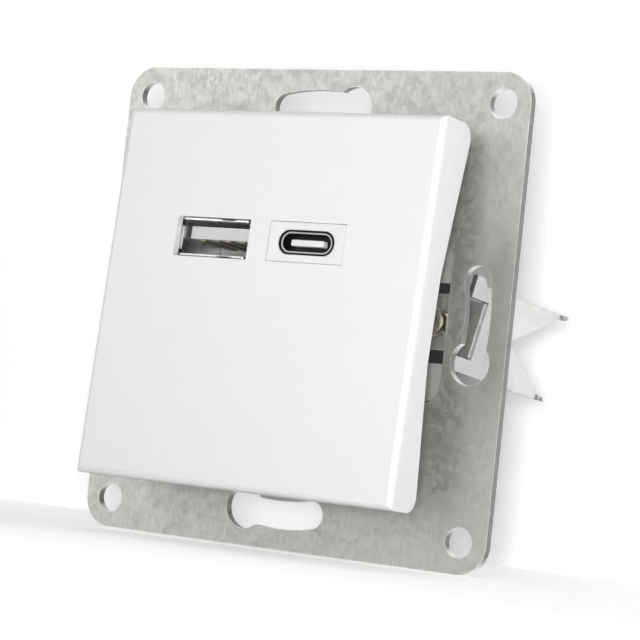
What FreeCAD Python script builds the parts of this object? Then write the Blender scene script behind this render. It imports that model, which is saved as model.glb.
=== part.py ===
import FreeCAD, Part
import math
import os
import re

import Sketcher

# USB wall socket for a round flush-mounting box, with one USB-A and one USB-C port.
# Millimetres. +Z is up and the front faces -Y. The origin is the centre of the mounting
# plate's rear face, which lies on the wall.

Vector = FreeCAD.Vector
Placement = FreeCAD.Placement
Rotation = FreeCAD.Rotation

DIMENSIONS = {
    # Running and assembly clearances
    "fit_gap": 0.1,
    "seat_gap": 0.2,
    "thread_gap": 0.04,
    # Mounting plate
    "plate_size": 71.0,
    "plate_thickness": 1.2,
    "plate_corner_radius": 4.5,
    "corner_hole_inset": 4.5,
    "corner_hole_radius": 2.15,
    "slot_arc_radius": 30.4,
    "slot_half_width": 2.05,
    "slot_half_angle": 11.2,
    "slot_eye_radius": 3.15,
    "lobe_reach": 6.05,
    "lobe_top": 10.9,
    "lobe_bottom": -11.9,
    "lobe_corner_radius": 2.4,
    # Tabs that carry the claw screws
    "tab_top": 3.7,
    "tab_bottom": -4.3,
    "tab_lip": 1.1,
    "window_top": 5.2,
    "window_bottom": -6.3,
    # Claw screws
    "claw_screw_offset": 3.3,
    "claw_screw_z": -0.4,
    "claw_screw_radius": 1.6,
    "claw_screw_length": 17.0,
    "claw_head_radius": 2.4,
    "claw_head_rim": 1.1,
    "claw_head_sphere": 2.95,
    "claw_cross_half_length": 1.49,
    "claw_cross_half_width": 0.35,
    "claw_screw_swing_room": 0.75,
    # Claws
    "claw_thickness": 1.0,
    "claw_bend_offset": 4.3,
    "claw_bend_depth": 5.5,
    "claw_bend_z": -1.08,
    "claw_splay": 15.0,
    "claw_droop": 6.3,
    "claw_lean": 9.7,
    "claw_width": 12.96,
    "claw_length": 16.2,
    "claw_notch_depth": 10.4,
    "claw_arm_length": 4.0,
    "claw_shoulder_rise": 1.1,
    "claw_shoulder_start": 2.6,
    "claw_shoulder_end": 1.6,
    "claw_window_half": 4.3,
    "claw_window_root": 0.5,
    "claw_tip_length": 1.55,
    "claw_tip_bend": 55.0,
    "claw_tongue_overreach": 2.2,
    "nut_width": 5.4,
    "nut_thickness": 2.6,
    # Cover, measured in its own tilted frame from the centre of its face
    "cover_size": 55.2,
    "cover_front": 12.9,
    "cover_rise": 0.37,
    "cover_tilt": 4.11,
    "cover_wall": 2.0,
    "cover_side_wall": 1.8,
    "skirt_top": 8.05,
    "skirt_upper_knee": 4.85,
    "skirt_upper_knee_at": 5.5,
    "skirt_lower_knee": 4.65,
    "skirt_lower_knee_at": -7.0,
    "skirt_bottom": 6.85,
    "cover_edge_radius": 1.1,
    "cover_rear_radius": 2.2,
    # Ports, in the cover's frame
    "port_rise": 8.45,
    "usb_a_offset": -8.95,
    "usb_c_offset": 7.6,
    "aperture_width": 13.1,
    "aperture_height": 5.9,
    "usb_a_shell_width": 12.9,
    "usb_a_shell_height": 5.7,
    "shell_wall": 0.35,
    "shell_recess": 0.3,
    "lip_notch_width": 3.2,
    "lip_notch_shift": 1.0,
    "lip_notch_depth": 0.6,
    "spring_window_start": 3.0,
    "spring_window_end": 7.5,
    "usb_a_tongue_width": 11.1,
    "usb_a_tongue_thickness": 1.84,
    "usb_a_tongue_recess": 2.4,
    "usb_a_tongue_top_gap": 0.62,
    "usb_a_contact_width": 1.0,
    "usb_a_inner_pitch": 1.0,
    "usb_a_outer_pitch": 3.5,
    "contact_thickness": 0.25,
    "port_base_length": 3.4,
    "usb_c_mouth_width": 9.6,
    "usb_c_mouth_height": 3.6,
    "usb_c_mouth_depth": 1.0,
    "usb_c_shell_width": 8.94,
    "usb_c_shell_height": 3.26,
    "usb_c_shell_wall": 0.3,
    "usb_c_shell_recess": 0.7,
    "usb_c_tongue_width": 6.69,
    "usb_c_tongue_thickness": 0.7,
    "usb_c_tongue_recess": 1.3,
    "usb_c_contact_pitch": 0.5,
    "usb_c_contact_width": 0.26,
    "adapter_depth": 6.6,
    "adapter_flange": 0.9,
    "adapter_flange_thickness": 1.0,
    # Port board
    "board_thickness": 1.6,
    "port_board_depth": 14.4,
    "port_board_side_inset": 2.4,
    "port_board_height": 25.0,
    # Front housing
    "housing_width": 38.8,
    "housing_height": 42.8,
    "housing_wall": 1.6,
    "housing_front_depth": 5.0,
    "housing_corner_radius": 2.0,
    "flange_side_inset": 2.4,
    "flange_reach": 2.6,
    "flange_thickness": 1.5,
    "ear_length": 5.75,
    "ear_thickness": 0.8,
    "post_side_inset": 4.0,
    "post_upper_z": 1.2,
    "post_lower_z": -9.6,
    "post_radius": 1.9,
    "post_pin_radius": 1.1,
    # Rear casing
    "casing_depth": 27.0,
    "casing_wall": 1.6,
    "casing_corner_radius": 5.0,
    "column_side_inset": 4.8,
    "column_inset": 4.5,
    "column_radius": 3.3,
    "well_radius": 2.4,
    "well_floor": 5.0,
    "boss_wall": 1.5,
    "housing_screw_radius": 1.2,
    "housing_screw_length": 9.0,
    "housing_screw_head_height": 1.6,
    "housing_screw_head_radius": 2.1,
    "housing_cross_half_length": 1.2,
    "housing_cross_half_width": 0.3,
    # Terminal block
    "terminal_width": 21.0,
    "terminal_front": 13.2,
    "terminal_height": 12.2,
    "terminal_pitch": 10.4,
    "terminal_depth_centre": 19.0,
    "wire_hole_radius": 2.0,
    "wire_hole_rise": 7.8,
    "clamp_width": 6.4,
    "clamp_depth": 7.0,
    "clamp_height": 6.6,
    "clamp_wall": 1.1,
    "terminal_screw_radius": 1.75,
    "terminal_head_radius": 2.5,
    "terminal_head_height": 1.8,
    "terminal_head_recess": 0.5,
    "terminal_tail_width": 1.2,
    "terminal_tail_thickness": 0.7,
    "terminal_tail_rise": 4.0,
    "terminal_slot_half_width": 0.4,
    "terminal_screw_grip": 0.66,
    # Power board and what it carries
    "power_board_front": 22.0,
    "power_board_rise": 2.0,
    "core_width": 14.0,
    "core_height": 7.0,
    "core_depth": 11.0,
    "core_x": -4.4,
    "core_drop": 8.2,
    "core_side_leg": 2.2,
    "core_centre_leg": 4.0,
    "core_yoke": 2.0,
    "bobbin_wall": 0.4,
    "bobbin_flange": 0.6,
    "bobbin_half_height": 6.2,
    "winding_build": 1.8,
    "winding_corner_radius": 1.6,
    "input_capacitor_radius": 3.1,
    "input_capacitor_length": 12.0,
    "input_capacitor_x": 7.6,
    "input_capacitor_drop": 4.0,
    "input_capacitor_pitch": 6.6,
    "output_capacitor_radius": 2.9,
    "output_capacitor_length": 9.0,
    "output_capacitor_x": 7.8,
    "output_capacitor_rise": 7.6,
    "coil_radius": 3.2,
    "coil_length": 7.0,
    "coil_x": -7.2,
    "coil_rise": 7.1,
    "coil_flange": 1.0,
    "coil_waist_depth": 0.5,
    "fuse_radius": 1.9,
    "fuse_length": 7.0,
    "fuse_x": 7.2,
    "fuse_rise": 2.3,
    "lead_width": 0.6,
    "chip_height": 1.5,
    "chip_length": 6.0,
    "chip_width": 4.6,
    "rectifier_x": 4.0,
    "rectifier_drop": 7.8,
    "controller_x": -4.0,
    "controller_drop": 16.8,
    "link_pitch": 2.54,
    "link_pin_width": 0.64,
    "link_x": -4.5,
    "link_rise": 2.2,
    "link_pin_tail": 0.8,
}

# Places that follow from the sizes above
LINKED = {
    "corner_hole_at": "plate_size / 2 - corner_hole_inset",
    "lobe_edge": "housing_width / 2 + lobe_reach",
    "ear_tip": "housing_width / 2 + ear_length",
    "claw_screw_x": "housing_width / 2 + claw_screw_offset",
    "claw_bend_x": "claw_screw_x + claw_bend_offset",
    "column_x": "housing_width / 2 - column_side_inset",
    "column_z": "housing_height / 2 - column_inset",
    "post_x": "housing_width / 2 - post_side_inset",
    "flange_width": "housing_width - 2 * flange_side_inset",
    "port_board_width": "housing_width - 2 * port_board_side_inset",
    "power_board_width": "2 * (column_x - column_radius - seat_gap)",
    "casing_bottom": "-housing_height / 2",
    "casing_ceiling": "housing_height / 2 - casing_wall",
    "terminal_top": "casing_bottom + terminal_height",
    "wire_hole_z": "casing_bottom + wire_hole_rise",
    "terminal_tail_top": "terminal_top + terminal_tail_rise",
    "power_board_top": "casing_ceiling - seat_gap",
    "power_board_bottom": "terminal_top + power_board_rise",
    "core_z": "casing_ceiling - core_drop",
    "input_capacitor_upper": "casing_ceiling - input_capacitor_drop",
    "input_capacitor_lower": "input_capacitor_upper - input_capacitor_pitch",
    "output_capacitor_z": "terminal_tail_top + output_capacitor_rise",
    "coil_z": "terminal_tail_top + coil_rise",
    "fuse_z": "terminal_tail_top + fuse_rise",
    "rectifier_z": "casing_ceiling - rectifier_drop",
    "controller_z": "casing_ceiling - controller_drop",
    "link_z": "terminal_tail_top + link_rise",
}

doc = FreeCAD.newDocument("usb_wall_socket")
sheet = doc.addObject("Spreadsheet::Sheet", "dims")
for row, (alias, number) in enumerate(DIMENSIONS.items(), start=1):
    sheet.set(f"A{row}", alias)
    sheet.set(f"B{row}", str(number))
    sheet.setAlias(f"B{row}", alias)
doc.recompute()

WORD = re.compile(r"[a-z][a-z0-9_]*")
ALL_ROUND = 360.0
FRONT_FACING = Rotation(Vector(1, 0, 0), 90)
REAR_FACING = Rotation(Vector(1, 0, 0), -90)
UPRIGHT = Rotation()


def size(alias):
    """Return the number that the sheet holds under an alias."""
    return float(getattr(sheet, alias))


def formula(text):
    """Return text as an expression: aliases refer to the sheet and linked places are spelt out."""
    def spell_out(word):
        name = word.group()
        if name in LINKED:
            return f"({formula(LINKED[name])})"
        return f"dims.{name}" if name in DIMENSIONS else name
    return WORD.sub(spell_out, str(text))


def place(item, base, rotation=UPRIGHT):
    """Bind an object's position to three expressions and turn it."""
    item.Placement = Placement(Vector(), rotation)
    for axis, text in zip("xyz", base):
        item.setExpression(f"Placement.Base.{axis}", formula(text))
    return item


def place_on_cover(item):
    """Put an object that is modelled in the cover's frame where the cover is."""
    item.Placement = Placement(Vector(), Rotation(Vector(-1, 0, 0), size("cover_tilt")))
    item.setExpression("Placement.Base.y", formula("-cover_front"))
    item.setExpression("Placement.Base.z", formula("cover_rise"))
    item.setExpression("Placement.Rotation.Angle", formula("cover_tilt * 1 deg"))
    return item


def box(name, low, high):
    """Return a box between two corners, each given as three expressions."""
    item = doc.addObject("Part::Box", name)
    for side, start, end in zip(("Length", "Width", "Height"), low, high):
        item.setExpression(side, formula(f"({end}) - ({start})"))
    return place(item, low)


def cylinder(name, radius, length, base, rotation=UPRIGHT):
    """Return a cylinder that runs from base along its turned Z axis."""
    item = doc.addObject("Part::Cylinder", name)
    item.setExpression("Radius", formula(radius))
    item.setExpression("Height", formula(length))
    return place(item, base, rotation)


def fuse(name, pieces):
    """Return the union of several solids."""
    item = doc.addObject("Part::MultiFuse", name)
    item.Shapes = pieces
    item.Refine = True
    return item


def cut(name, base, tools):
    """Return base with one or more tools taken away."""
    item = doc.addObject("Part::Cut", name)
    item.Base = base
    item.Tool = tools[0] if len(tools) == 1 else fuse(f"{name}_tools", tools)
    item.Refine = True
    return item


def group(name, pieces):
    """Return several separate solids as one object."""
    item = doc.addObject("Part::Compound", name)
    item.Links = pieces
    return item


def new_body(name):
    """Return an empty body."""
    return doc.addObject("PartDesign::Body", name)


def origin_feature(body, role):
    """Return one of a body's origin planes or axes."""
    return next(feature for feature in body.Origin.OriginFeatures if feature.Role == role)


def new_sketch(body, name, plane, offset="0"):
    """Return an empty sketch on one of the body's own planes, moved along its normal."""
    item = body.newObject("Sketcher::SketchObject", name)
    item.AttachmentSupport = [(origin_feature(body, plane), "")]
    item.MapMode = "FlatFace"
    item.setExpression("AttachmentOffset.Base.z", formula(offset))
    return item


def fix_point(item, geometry, point, x_text, y_text):
    """Hold a sketch point at two expressions."""
    for kind, text in (("DistanceX", x_text), ("DistanceY", y_text)):
        index = item.addConstraint(Sketcher.Constraint(kind, -1, 1, geometry, point, 1.0))
        item.setExpression(f"Constraints[{index}]", formula(text))


def draw_polygon(item, points):
    """Draw a closed outline through points that are given as pairs of expressions."""
    count = len(points)
    first = item.GeometryCount
    turn = [2 * math.pi * index / count for index in range(count)]
    start = [Vector(math.cos(angle), math.sin(angle), 0) for angle in turn]
    for index in range(count):
        item.addGeometry(Part.LineSegment(start[index], start[(index + 1) % count]), False)
    for index in range(count):
        following = first + (index + 1) % count
        item.addConstraint(Sketcher.Constraint("Coincident", first + index, 2, following, 1))
    for index, (x_text, y_text) in enumerate(points):
        fix_point(item, first + index, 1, x_text, y_text)
    return item


def draw_rectangle(item, left, right, bottom, top):
    """Draw a rectangle between four expressions."""
    return draw_polygon(item, [(left, bottom), (right, bottom), (right, top), (left, top)])


def draw_circle(item, x_text, y_text, radius):
    """Draw a circle whose centre and radius are expressions."""
    index = item.addGeometry(Part.Circle(Vector(1, 1, 0), Vector(0, 0, 1), 1), False)
    fix_point(item, index, 3, x_text, y_text)
    limit = item.addConstraint(Sketcher.Constraint("Radius", index, 1.0))
    item.setExpression(f"Constraints[{limit}]", formula(radius))
    return item


def pad(body, profile, length, back=False, middle=False):
    """Add a pad along the sketch's normal, against it or to both sides."""
    item = body.newObject("PartDesign::Pad", f"{profile.Name}_pad")
    item.Profile = profile
    item.setExpression("Length", formula(length))
    item.Reversed = back
    item.SideType = "Symmetric" if middle else "One side"
    return item


def pocket(body, profile, length=None, forward=False):
    """Cut a sketch through the whole body, or to a length along or against its normal."""
    item = body.newObject("PartDesign::Pocket", f"{profile.Name}_pocket")
    item.Profile = profile
    if length is None:
        item.Type = "ThroughAll"
        item.SideType = "Symmetric"
    else:
        item.setExpression("Length", formula(length))
        item.Reversed = forward
    return item


def dress_edges(body, kind, name, reach, test):
    """Round or chamfer the edges of the body's last feature that pass a test."""
    doc.recompute()
    base = body.Tip
    names = [f"Edge{number}" for number, edge in enumerate(base.Shape.Edges, start=1) if test(edge)]
    if not names:
        raise RuntimeError(f"{name} found no edge")
    item = body.newObject(f"PartDesign::{kind}", name)
    item.Base = (base, names)
    item.setExpression("Radius" if kind == "Fillet" else "Size", formula(reach))
    return item


def runs_along(edge, axis):
    """Tell whether a straight edge runs along the axis with index 0, 1 or 2."""
    if len(edge.Vertexes) != 2 or edge.Curve.TypeId != "Part::GeomLine":
        return False
    span = edge.Vertexes[1].Point - edge.Vertexes[0].Point
    return abs(abs(span[axis]) - span.Length) < 1e-6


def middle_of(edge):
    """Return the middle point of an edge."""
    return edge.valueAt((edge.FirstParameter + edge.LastParameter) / 2)


def near(first, second, reach=0.01):
    """Tell whether two numbers agree."""
    return abs(first - second) < reach


# Places that several pieces share
OPENING_WIDTH = "(housing_width + 2 * seat_gap)"
OPENING_HEIGHT = "(housing_height + 2 * seat_gap)"
PLATE_FRONT = "(-plate_thickness)"
PASSAGE_HALF_WIDTH = "(claw_screw_radius + 3 * fit_gap)"
HEAD_TOP = f"(-(sqrt(claw_head_sphere ^ 2 - {PASSAGE_HALF_WIDTH} ^ 2) + fit_gap))"
PORT_BOARD_REAR = "(port_board_depth + board_thickness)"
POWER_BOARD_REAR = "(power_board_front + board_thickness)"


def arc_slot(item, radius, half_width, half_angle):
    """Draw a slot bent about the sketch's origin, with round ends, across its X axis."""
    inner = radius - half_width
    outer = radius + half_width
    reach = math.radians(half_angle)
    z_axis = Vector(0, 0, 1)
    for rim in (inner, outer):
        item.addGeometry(Part.ArcOfCircle(Part.Circle(Vector(), z_axis, rim), -reach, reach), False)
    for turn in (reach, -reach):
        centre = Vector(radius * math.cos(turn), radius * math.sin(turn), 0)
        begin = turn if turn > 0 else turn - math.pi
        circle = Part.Circle(centre, z_axis, half_width)
        item.addGeometry(Part.ArcOfCircle(circle, begin, begin + math.pi), False)
    item.addConstraint(Sketcher.Constraint("Coincident", 1, 2, 2, 1))
    item.addConstraint(Sketcher.Constraint("Coincident", 0, 2, 2, 2))
    item.addConstraint(Sketcher.Constraint("Coincident", 0, 1, 3, 1))
    item.addConstraint(Sketcher.Constraint("Coincident", 1, 1, 3, 2))
    return item


def make_mounting_plate():
    """Galvanised plate with four corner holes, four keyhole slots and the opening."""
    body = new_body("mounting_plate")
    outline = new_sketch(body, "plate_outline", "XZ_Plane")
    draw_rectangle(outline, "-plate_size / 2", "plate_size / 2", "-plate_size / 2", "plate_size / 2")
    pad(body, outline, "plate_thickness")
    half = size("plate_size") / 2
    dress_edges(body, "Fillet", "plate_corners", "plate_corner_radius",
                lambda edge: runs_along(edge, 1) and near(abs(middle_of(edge).x), half))

    tab = new_sketch(body, "tab_outline", "XZ_Plane")
    for side in (1, -1):
        inner = f"{side} * (housing_width / 2 + seat_gap)"
        outer = f"{side} * (lobe_edge + tab_lip)"
        left, right = (inner, outer) if side > 0 else (outer, inner)
        draw_rectangle(tab, left, right, "tab_bottom", "tab_top")

    opening = new_sketch(body, "housing_opening", "XZ_Plane")
    draw_rectangle(opening, f"-{OPENING_WIDTH} / 2", f"{OPENING_WIDTH} / 2",
                   f"-{OPENING_HEIGHT} / 2", f"{OPENING_HEIGHT} / 2")
    pocket(body, opening)
    lobes = new_sketch(body, "claw_lobes", "XZ_Plane")
    draw_rectangle(lobes, "-lobe_edge", "lobe_edge", "lobe_bottom", "lobe_top")
    pocket(body, lobes)
    lobe_edge = size("housing_width") / 2 + size("lobe_reach")
    dress_edges(body, "Fillet", "lobe_corners", "lobe_corner_radius",
                lambda edge: runs_along(edge, 1) and near(abs(middle_of(edge).x), lobe_edge))

    slot = new_sketch(body, "curved_slot", "XZ_Plane")
    arc_slot(slot, size("slot_arc_radius"), size("slot_half_width"), size("slot_half_angle"))
    slot_cut = pocket(body, slot)
    eye = new_sketch(body, "slot_eye", "XZ_Plane")
    draw_circle(eye, "slot_arc_radius * cos(slot_half_angle * 1 deg)",
                "-slot_arc_radius * sin(slot_half_angle * 1 deg)", "slot_eye_radius")
    eye_cut = pocket(body, eye)
    hole = new_sketch(body, "corner_hole", "XZ_Plane")
    draw_circle(hole, "corner_hole_at", "corner_hole_at", "corner_hole_radius")
    hole_cut = pocket(body, hole)
    around = body.newObject("PartDesign::PolarPattern", "holes_around")
    around.Originals = [slot_cut, eye_cut, hole_cut]
    around.Axis = (origin_feature(body, "Y_Axis"), [""])
    around.Angle = ALL_ROUND
    around.Occurrences = 4
    body.Tip = around

    pad(body, tab, "plate_thickness", back=True)
    passage = new_sketch(body, "claw_screw_passage", "XZ_Plane")
    for side in (1, -1):
        inner = f"{side} * claw_screw_x"
        outer = f"{side} * (claw_screw_x + claw_screw_swing_room)"
        left, right = (inner, outer) if side > 0 else (outer, inner)
        draw_rectangle(passage, left, right, f"claw_screw_z - {PASSAGE_HALF_WIDTH}",
                       f"claw_screw_z + {PASSAGE_HALF_WIDTH}")
    pocket(body, passage, "plate_thickness")
    for name, shift in (("passage_inner_end", "0"), ("passage_outer_end", "claw_screw_swing_room")):
        ends = new_sketch(body, name, "XZ_Plane")
        for side in (1, -1):
            draw_circle(ends, f"{side} * (claw_screw_x + {shift})", "claw_screw_z", PASSAGE_HALF_WIDTH)
        pocket(body, ends, "plate_thickness")
    return body


def make_cover():
    """White centre plate: a hollow shell with a V-shaped rear edge and two apertures."""
    body = new_body("cover_plate")
    side = new_sketch(body, "cover_side", "YZ_Plane")
    half = "cover_size / 2"
    rear = [("skirt_bottom", f"-{half}"), ("skirt_lower_knee", "skirt_lower_knee_at"),
            ("skirt_upper_knee", "skirt_upper_knee_at"), ("skirt_top", half)]
    draw_polygon(side, [("0", half), ("0", f"-{half}")] + rear)
    pad(body, side, "cover_size", middle=True)
    edge_x = size("cover_size") / 2
    dress_edges(body, "Fillet", "cover_rear_corners", "cover_rear_radius",
                lambda edge: runs_along(edge, 0) and near(abs(middle_of(edge).z), edge_x)
                and middle_of(edge).y > size("skirt_upper_knee"))
    dress_edges(body, "Fillet", "cover_front_edges", "cover_edge_radius",
                lambda edge: near(edge.BoundBox.YMax, 0) and near(edge.BoundBox.YMin, 0))
    hollow = new_sketch(body, "cover_hollow", "YZ_Plane")
    inner = f"({half} - cover_side_wall)"
    draw_rectangle(hollow, "cover_wall", "cover_size", f"-{inner}", inner)
    hollow_cut = pocket(body, hollow, f"2 * {inner}")
    hollow_cut.SideType = "Symmetric"
    apertures = new_sketch(body, "port_apertures", "XZ_Plane")
    for offset in ("usb_a_offset", "usb_c_offset"):
        draw_rectangle(apertures, f"{offset} - aperture_width / 2", f"{offset} + aperture_width / 2",
                       "port_rise - aperture_height / 2", "port_rise + aperture_height / 2")
    pocket(body, apertures, "2 * cover_wall", forward=False)
    seats = new_sketch(body, "seat_ribs", "XZ_Plane", "-cover_wall")
    for side_x in (1, -1):
        for side_z in (1, -1):
            draw_circle(seats, f"{side_x} * column_x", f"{side_z} * column_z", "housing_wall")
    pad(body, seats, "housing_front_depth - cover_wall", back=True)
    return place_on_cover(body)


def cover_plane(depth, height):
    """Return the Y of the plane that lies a depth behind the cover's face, at a height."""
    tilt = "(cover_tilt * 1 deg)"
    return f"(-cover_front + ({depth} + ({height} - cover_rise) * sin{tilt}) / cos{tilt})"


def oval_prism(name, width, height, low, high, x_text, z_text):
    """Return a solid with an oval section that runs along Y between two expressions."""
    half = f"(({width}) - ({height})) / 2"
    slab = box(f"{name}_middle", (f"{x_text} - {half}", low, f"{z_text} - ({height}) / 2"),
               (f"{x_text} + {half}", high, f"{z_text} + ({height}) / 2"))
    ends = [cylinder(f"{name}_end_{label}", f"({height}) / 2", f"({high}) - ({low})",
                     (f"{x_text} {sign} {half}", low, z_text), REAR_FACING)
            for label, sign in (("left", "-"), ("right", "+"))]
    return fuse(name, [slab] + ends)


def make_usb_c_adapter():
    """White block that narrows the right aperture to an oval mouth."""
    half_width = "(aperture_width / 2 - fit_gap / 2)"
    half_height = "(aperture_height / 2 - fit_gap / 2)"
    nose = box("adapter_nose",
               (f"usb_c_offset - {half_width}", "fit_gap / 2", f"port_rise - {half_height}"),
               (f"usb_c_offset + {half_width}", "adapter_depth", f"port_rise + {half_height}"))
    reach = "adapter_flange"
    start = "(cover_wall + fit_gap)"
    flange = box("adapter_rim",
                 (f"usb_c_offset - {half_width} - {reach}", start,
                  f"port_rise - {half_height} - {reach}"),
                 (f"usb_c_offset + {half_width} + {reach}", f"{start} + adapter_flange_thickness",
                  f"port_rise + {half_height} + {reach}"))
    block = fuse("adapter_block", [nose, flange])
    mouth = oval_prism("adapter_mouth", "usb_c_mouth_width", "usb_c_mouth_height",
                       "-1", "usb_c_mouth_depth", "usb_c_offset", "port_rise")
    throat = oval_prism("adapter_throat", "usb_c_shell_width + 2 * fit_gap",
                        "usb_c_shell_height + 2 * fit_gap", "0", "adapter_depth + 1",
                        "usb_c_offset", "port_rise")
    return place_on_cover(cut("usb_c_adapter", block, [mouth, throat]))


def make_usb_a_shell():
    """Folded steel shell with spring windows and relieved corners at its mouth."""
    half_width = "(usb_a_shell_width / 2)"
    half_height = "(usb_a_shell_height / 2)"
    outer = box("usb_a_outside",
                (f"usb_a_offset - {half_width}", "shell_recess", f"port_rise - {half_height}"),
                (f"usb_a_offset + {half_width}", "port_board_depth", f"port_rise + {half_height}"))
    inner = box("usb_a_inside",
                (f"usb_a_offset - {half_width} + shell_wall", "0",
                 f"port_rise - {half_height} + shell_wall"),
                (f"usb_a_offset + {half_width} - shell_wall", "port_board_depth + 1",
                 f"port_rise + {half_height} - shell_wall"))
    tools = [inner]
    for label_x, sign_x in (("left", "-"), ("right", "+")):
        for label_z, sign_z in (("lower", "-"), ("upper", "+")):
            corner_x = f"(usb_a_offset {sign_x} {half_width})"
            corner_z = f"(port_rise {sign_z} {half_height})"
            relief = "2 * shell_wall"
            tools.append(box(f"usb_a_relief_{label_x}_{label_z}",
                             (f"{corner_x} - {relief}", "0", f"{corner_z} - {relief}"),
                             (f"{corner_x} + {relief}", f"shell_recess + {relief}",
                              f"{corner_z} + {relief}")))
        edge_z = f"(port_rise {sign_x} {half_height})"
        tools.append(box(f"usb_a_lip_notch_{label_x}",
                         ("usb_a_offset + lip_notch_shift - lip_notch_width / 2", "0",
                          f"{edge_z} - shell_wall / 2"),
                         ("usb_a_offset + lip_notch_shift + lip_notch_width / 2",
                          "shell_recess + lip_notch_depth", f"{edge_z} + shell_wall / 2")))
        centre = f"(usb_a_offset {sign_x} usb_a_shell_width / 4)"
        tools.append(box(f"usb_a_spring_{label_x}",
                         (f"{centre} - usb_a_contact_width", "spring_window_start",
                          f"port_rise - {half_height} - 1"),
                         (f"{centre} + usb_a_contact_width", "spring_window_end",
                          f"port_rise + {half_height} + 1")))
    return place_on_cover(cut("usb_a_shell", outer, tools))


TONGUE_TOP = "(port_rise + usb_a_shell_height / 2 - shell_wall - usb_a_tongue_top_gap)"
TONGUE_BOTTOM = f"({TONGUE_TOP} - usb_a_tongue_thickness)"
BASE_FRONT = "(port_board_depth - port_base_length)"


def make_usb_a_tongue():
    """Plastic tongue in the upper half of the shell, with the base that closes the shell."""
    tongue = box("usb_a_blade",
                 ("usb_a_offset - usb_a_tongue_width / 2", "usb_a_tongue_recess", TONGUE_BOTTOM),
                 ("usb_a_offset + usb_a_tongue_width / 2", f"{BASE_FRONT} + 1", TONGUE_TOP))
    inset = "(shell_wall + fit_gap / 2)"
    base = box("usb_a_base",
               (f"usb_a_offset - usb_a_shell_width / 2 + {inset}", BASE_FRONT,
                f"port_rise - usb_a_shell_height / 2 + {inset}"),
               (f"usb_a_offset + usb_a_shell_width / 2 - {inset}", "port_board_depth",
                f"port_rise + usb_a_shell_height / 2 - {inset}"))
    return place_on_cover(fuse("usb_a_tongue", [tongue, base]))


def make_usb_a_contacts():
    """Four contact strips under the tongue."""
    strips = []
    for number, place_text in enumerate(("-usb_a_outer_pitch", "-usb_a_inner_pitch",
                                         "usb_a_inner_pitch", "usb_a_outer_pitch")):
        centre = f"(usb_a_offset + {place_text})"
        strips.append(box(f"usb_a_contact_{number}",
                          (f"{centre} - usb_a_contact_width / 2",
                           "usb_a_tongue_recess + contact_thickness",
                           f"{TONGUE_BOTTOM} - contact_thickness"),
                          (f"{centre} + usb_a_contact_width / 2", BASE_FRONT, TONGUE_BOTTOM)))
    return place_on_cover(group("usb_a_contacts", strips))


USB_C_BASE_FRONT = "(usb_c_shell_recess + port_board_depth / 2)"


def make_usb_c_shell():
    """Drawn oval steel shell."""
    outer = oval_prism("usb_c_outside", "usb_c_shell_width", "usb_c_shell_height",
                       "usb_c_shell_recess", "port_board_depth", "usb_c_offset", "port_rise")
    inner = oval_prism("usb_c_inside", "usb_c_shell_width - 2 * usb_c_shell_wall",
                       "usb_c_shell_height - 2 * usb_c_shell_wall", "0", "port_board_depth + 1",
                       "usb_c_offset", "port_rise")
    return place_on_cover(cut("usb_c_shell", outer, [inner]))


def make_usb_c_tongue():
    """Thin central tongue with the base that closes the oval shell."""
    tongue = box("usb_c_blade",
                 ("usb_c_offset - usb_c_tongue_width / 2", "usb_c_shell_recess + usb_c_tongue_recess",
                  "port_rise - usb_c_tongue_thickness / 2"),
                 ("usb_c_offset + usb_c_tongue_width / 2", f"{USB_C_BASE_FRONT} + 1",
                  "port_rise + usb_c_tongue_thickness / 2"))
    base = oval_prism("usb_c_base", "usb_c_shell_width - 2 * usb_c_shell_wall - fit_gap",
                      "usb_c_shell_height - 2 * usb_c_shell_wall - fit_gap", USB_C_BASE_FRONT,
                      "port_board_depth", "usb_c_offset", "port_rise")
    return place_on_cover(fuse("usb_c_tongue", [tongue, base]))


def make_usb_c_contacts():
    """Two rows of twelve contact strips, above and below the tongue."""
    strips = []
    thickness = "contact_thickness / 3"
    surface = "usb_c_tongue_thickness / 2"
    rows = (("lower", f"port_rise - {surface} - {thickness}", f"port_rise - {surface}"),
            ("upper", f"port_rise + {surface}", f"port_rise + {surface} + {thickness}"))
    for row_name, low, high in rows:
        for number in range(12):
            centre = f"(usb_c_offset + ({number} - 5.5) * usb_c_contact_pitch)"
            strips.append(box(f"usb_c_contact_{row_name}_{number}",
                              (f"{centre} - usb_c_contact_width / 2",
                               "usb_c_shell_recess + usb_c_tongue_recess + contact_thickness", low),
                              (f"{centre} + usb_c_contact_width / 2", USB_C_BASE_FRONT, high)))
    return place_on_cover(group("usb_c_contacts", strips))


def pin_places():
    """Return the X places of the four link pins."""
    return [f"(link_x + ({number} - 1.5) * link_pitch)" for number in range(4)]


def make_port_board():
    """Board behind both ports, with holes for its posts and the link pins."""
    half_width = "port_board_width / 2"
    half_height = "port_board_height / 2"
    plate = box("port_board_blank", (f"-{half_width}", "port_board_depth", f"-{half_height}"),
                (half_width, PORT_BOARD_REAR, half_height))
    drop = "((port_board_depth + board_thickness / 2) * tan(cover_tilt * 1 deg))"
    holes = []
    for label_x, sign_x in (("left", "-"), ("right", "")):
        for label_z in ("lower", "upper"):
            holes.append(cylinder(f"port_board_hole_{label_x}_{label_z}", "post_pin_radius + seat_gap",
                                  "board_thickness + 2",
                                  (f"{sign_x}post_x", "port_board_depth - 1",
                                   f"post_{label_z}_z - cover_rise + {drop}"), REAR_FACING))
    for number, centre in enumerate(pin_places()):
        holes.append(cylinder(f"port_board_pin_hole_{number}", "link_pin_width", "board_thickness + 2",
                              (centre, "port_board_depth - 1", f"link_z - cover_rise + {drop}"),
                              REAR_FACING))
    return place_on_cover(cut("port_board", plate, holes))


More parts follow.
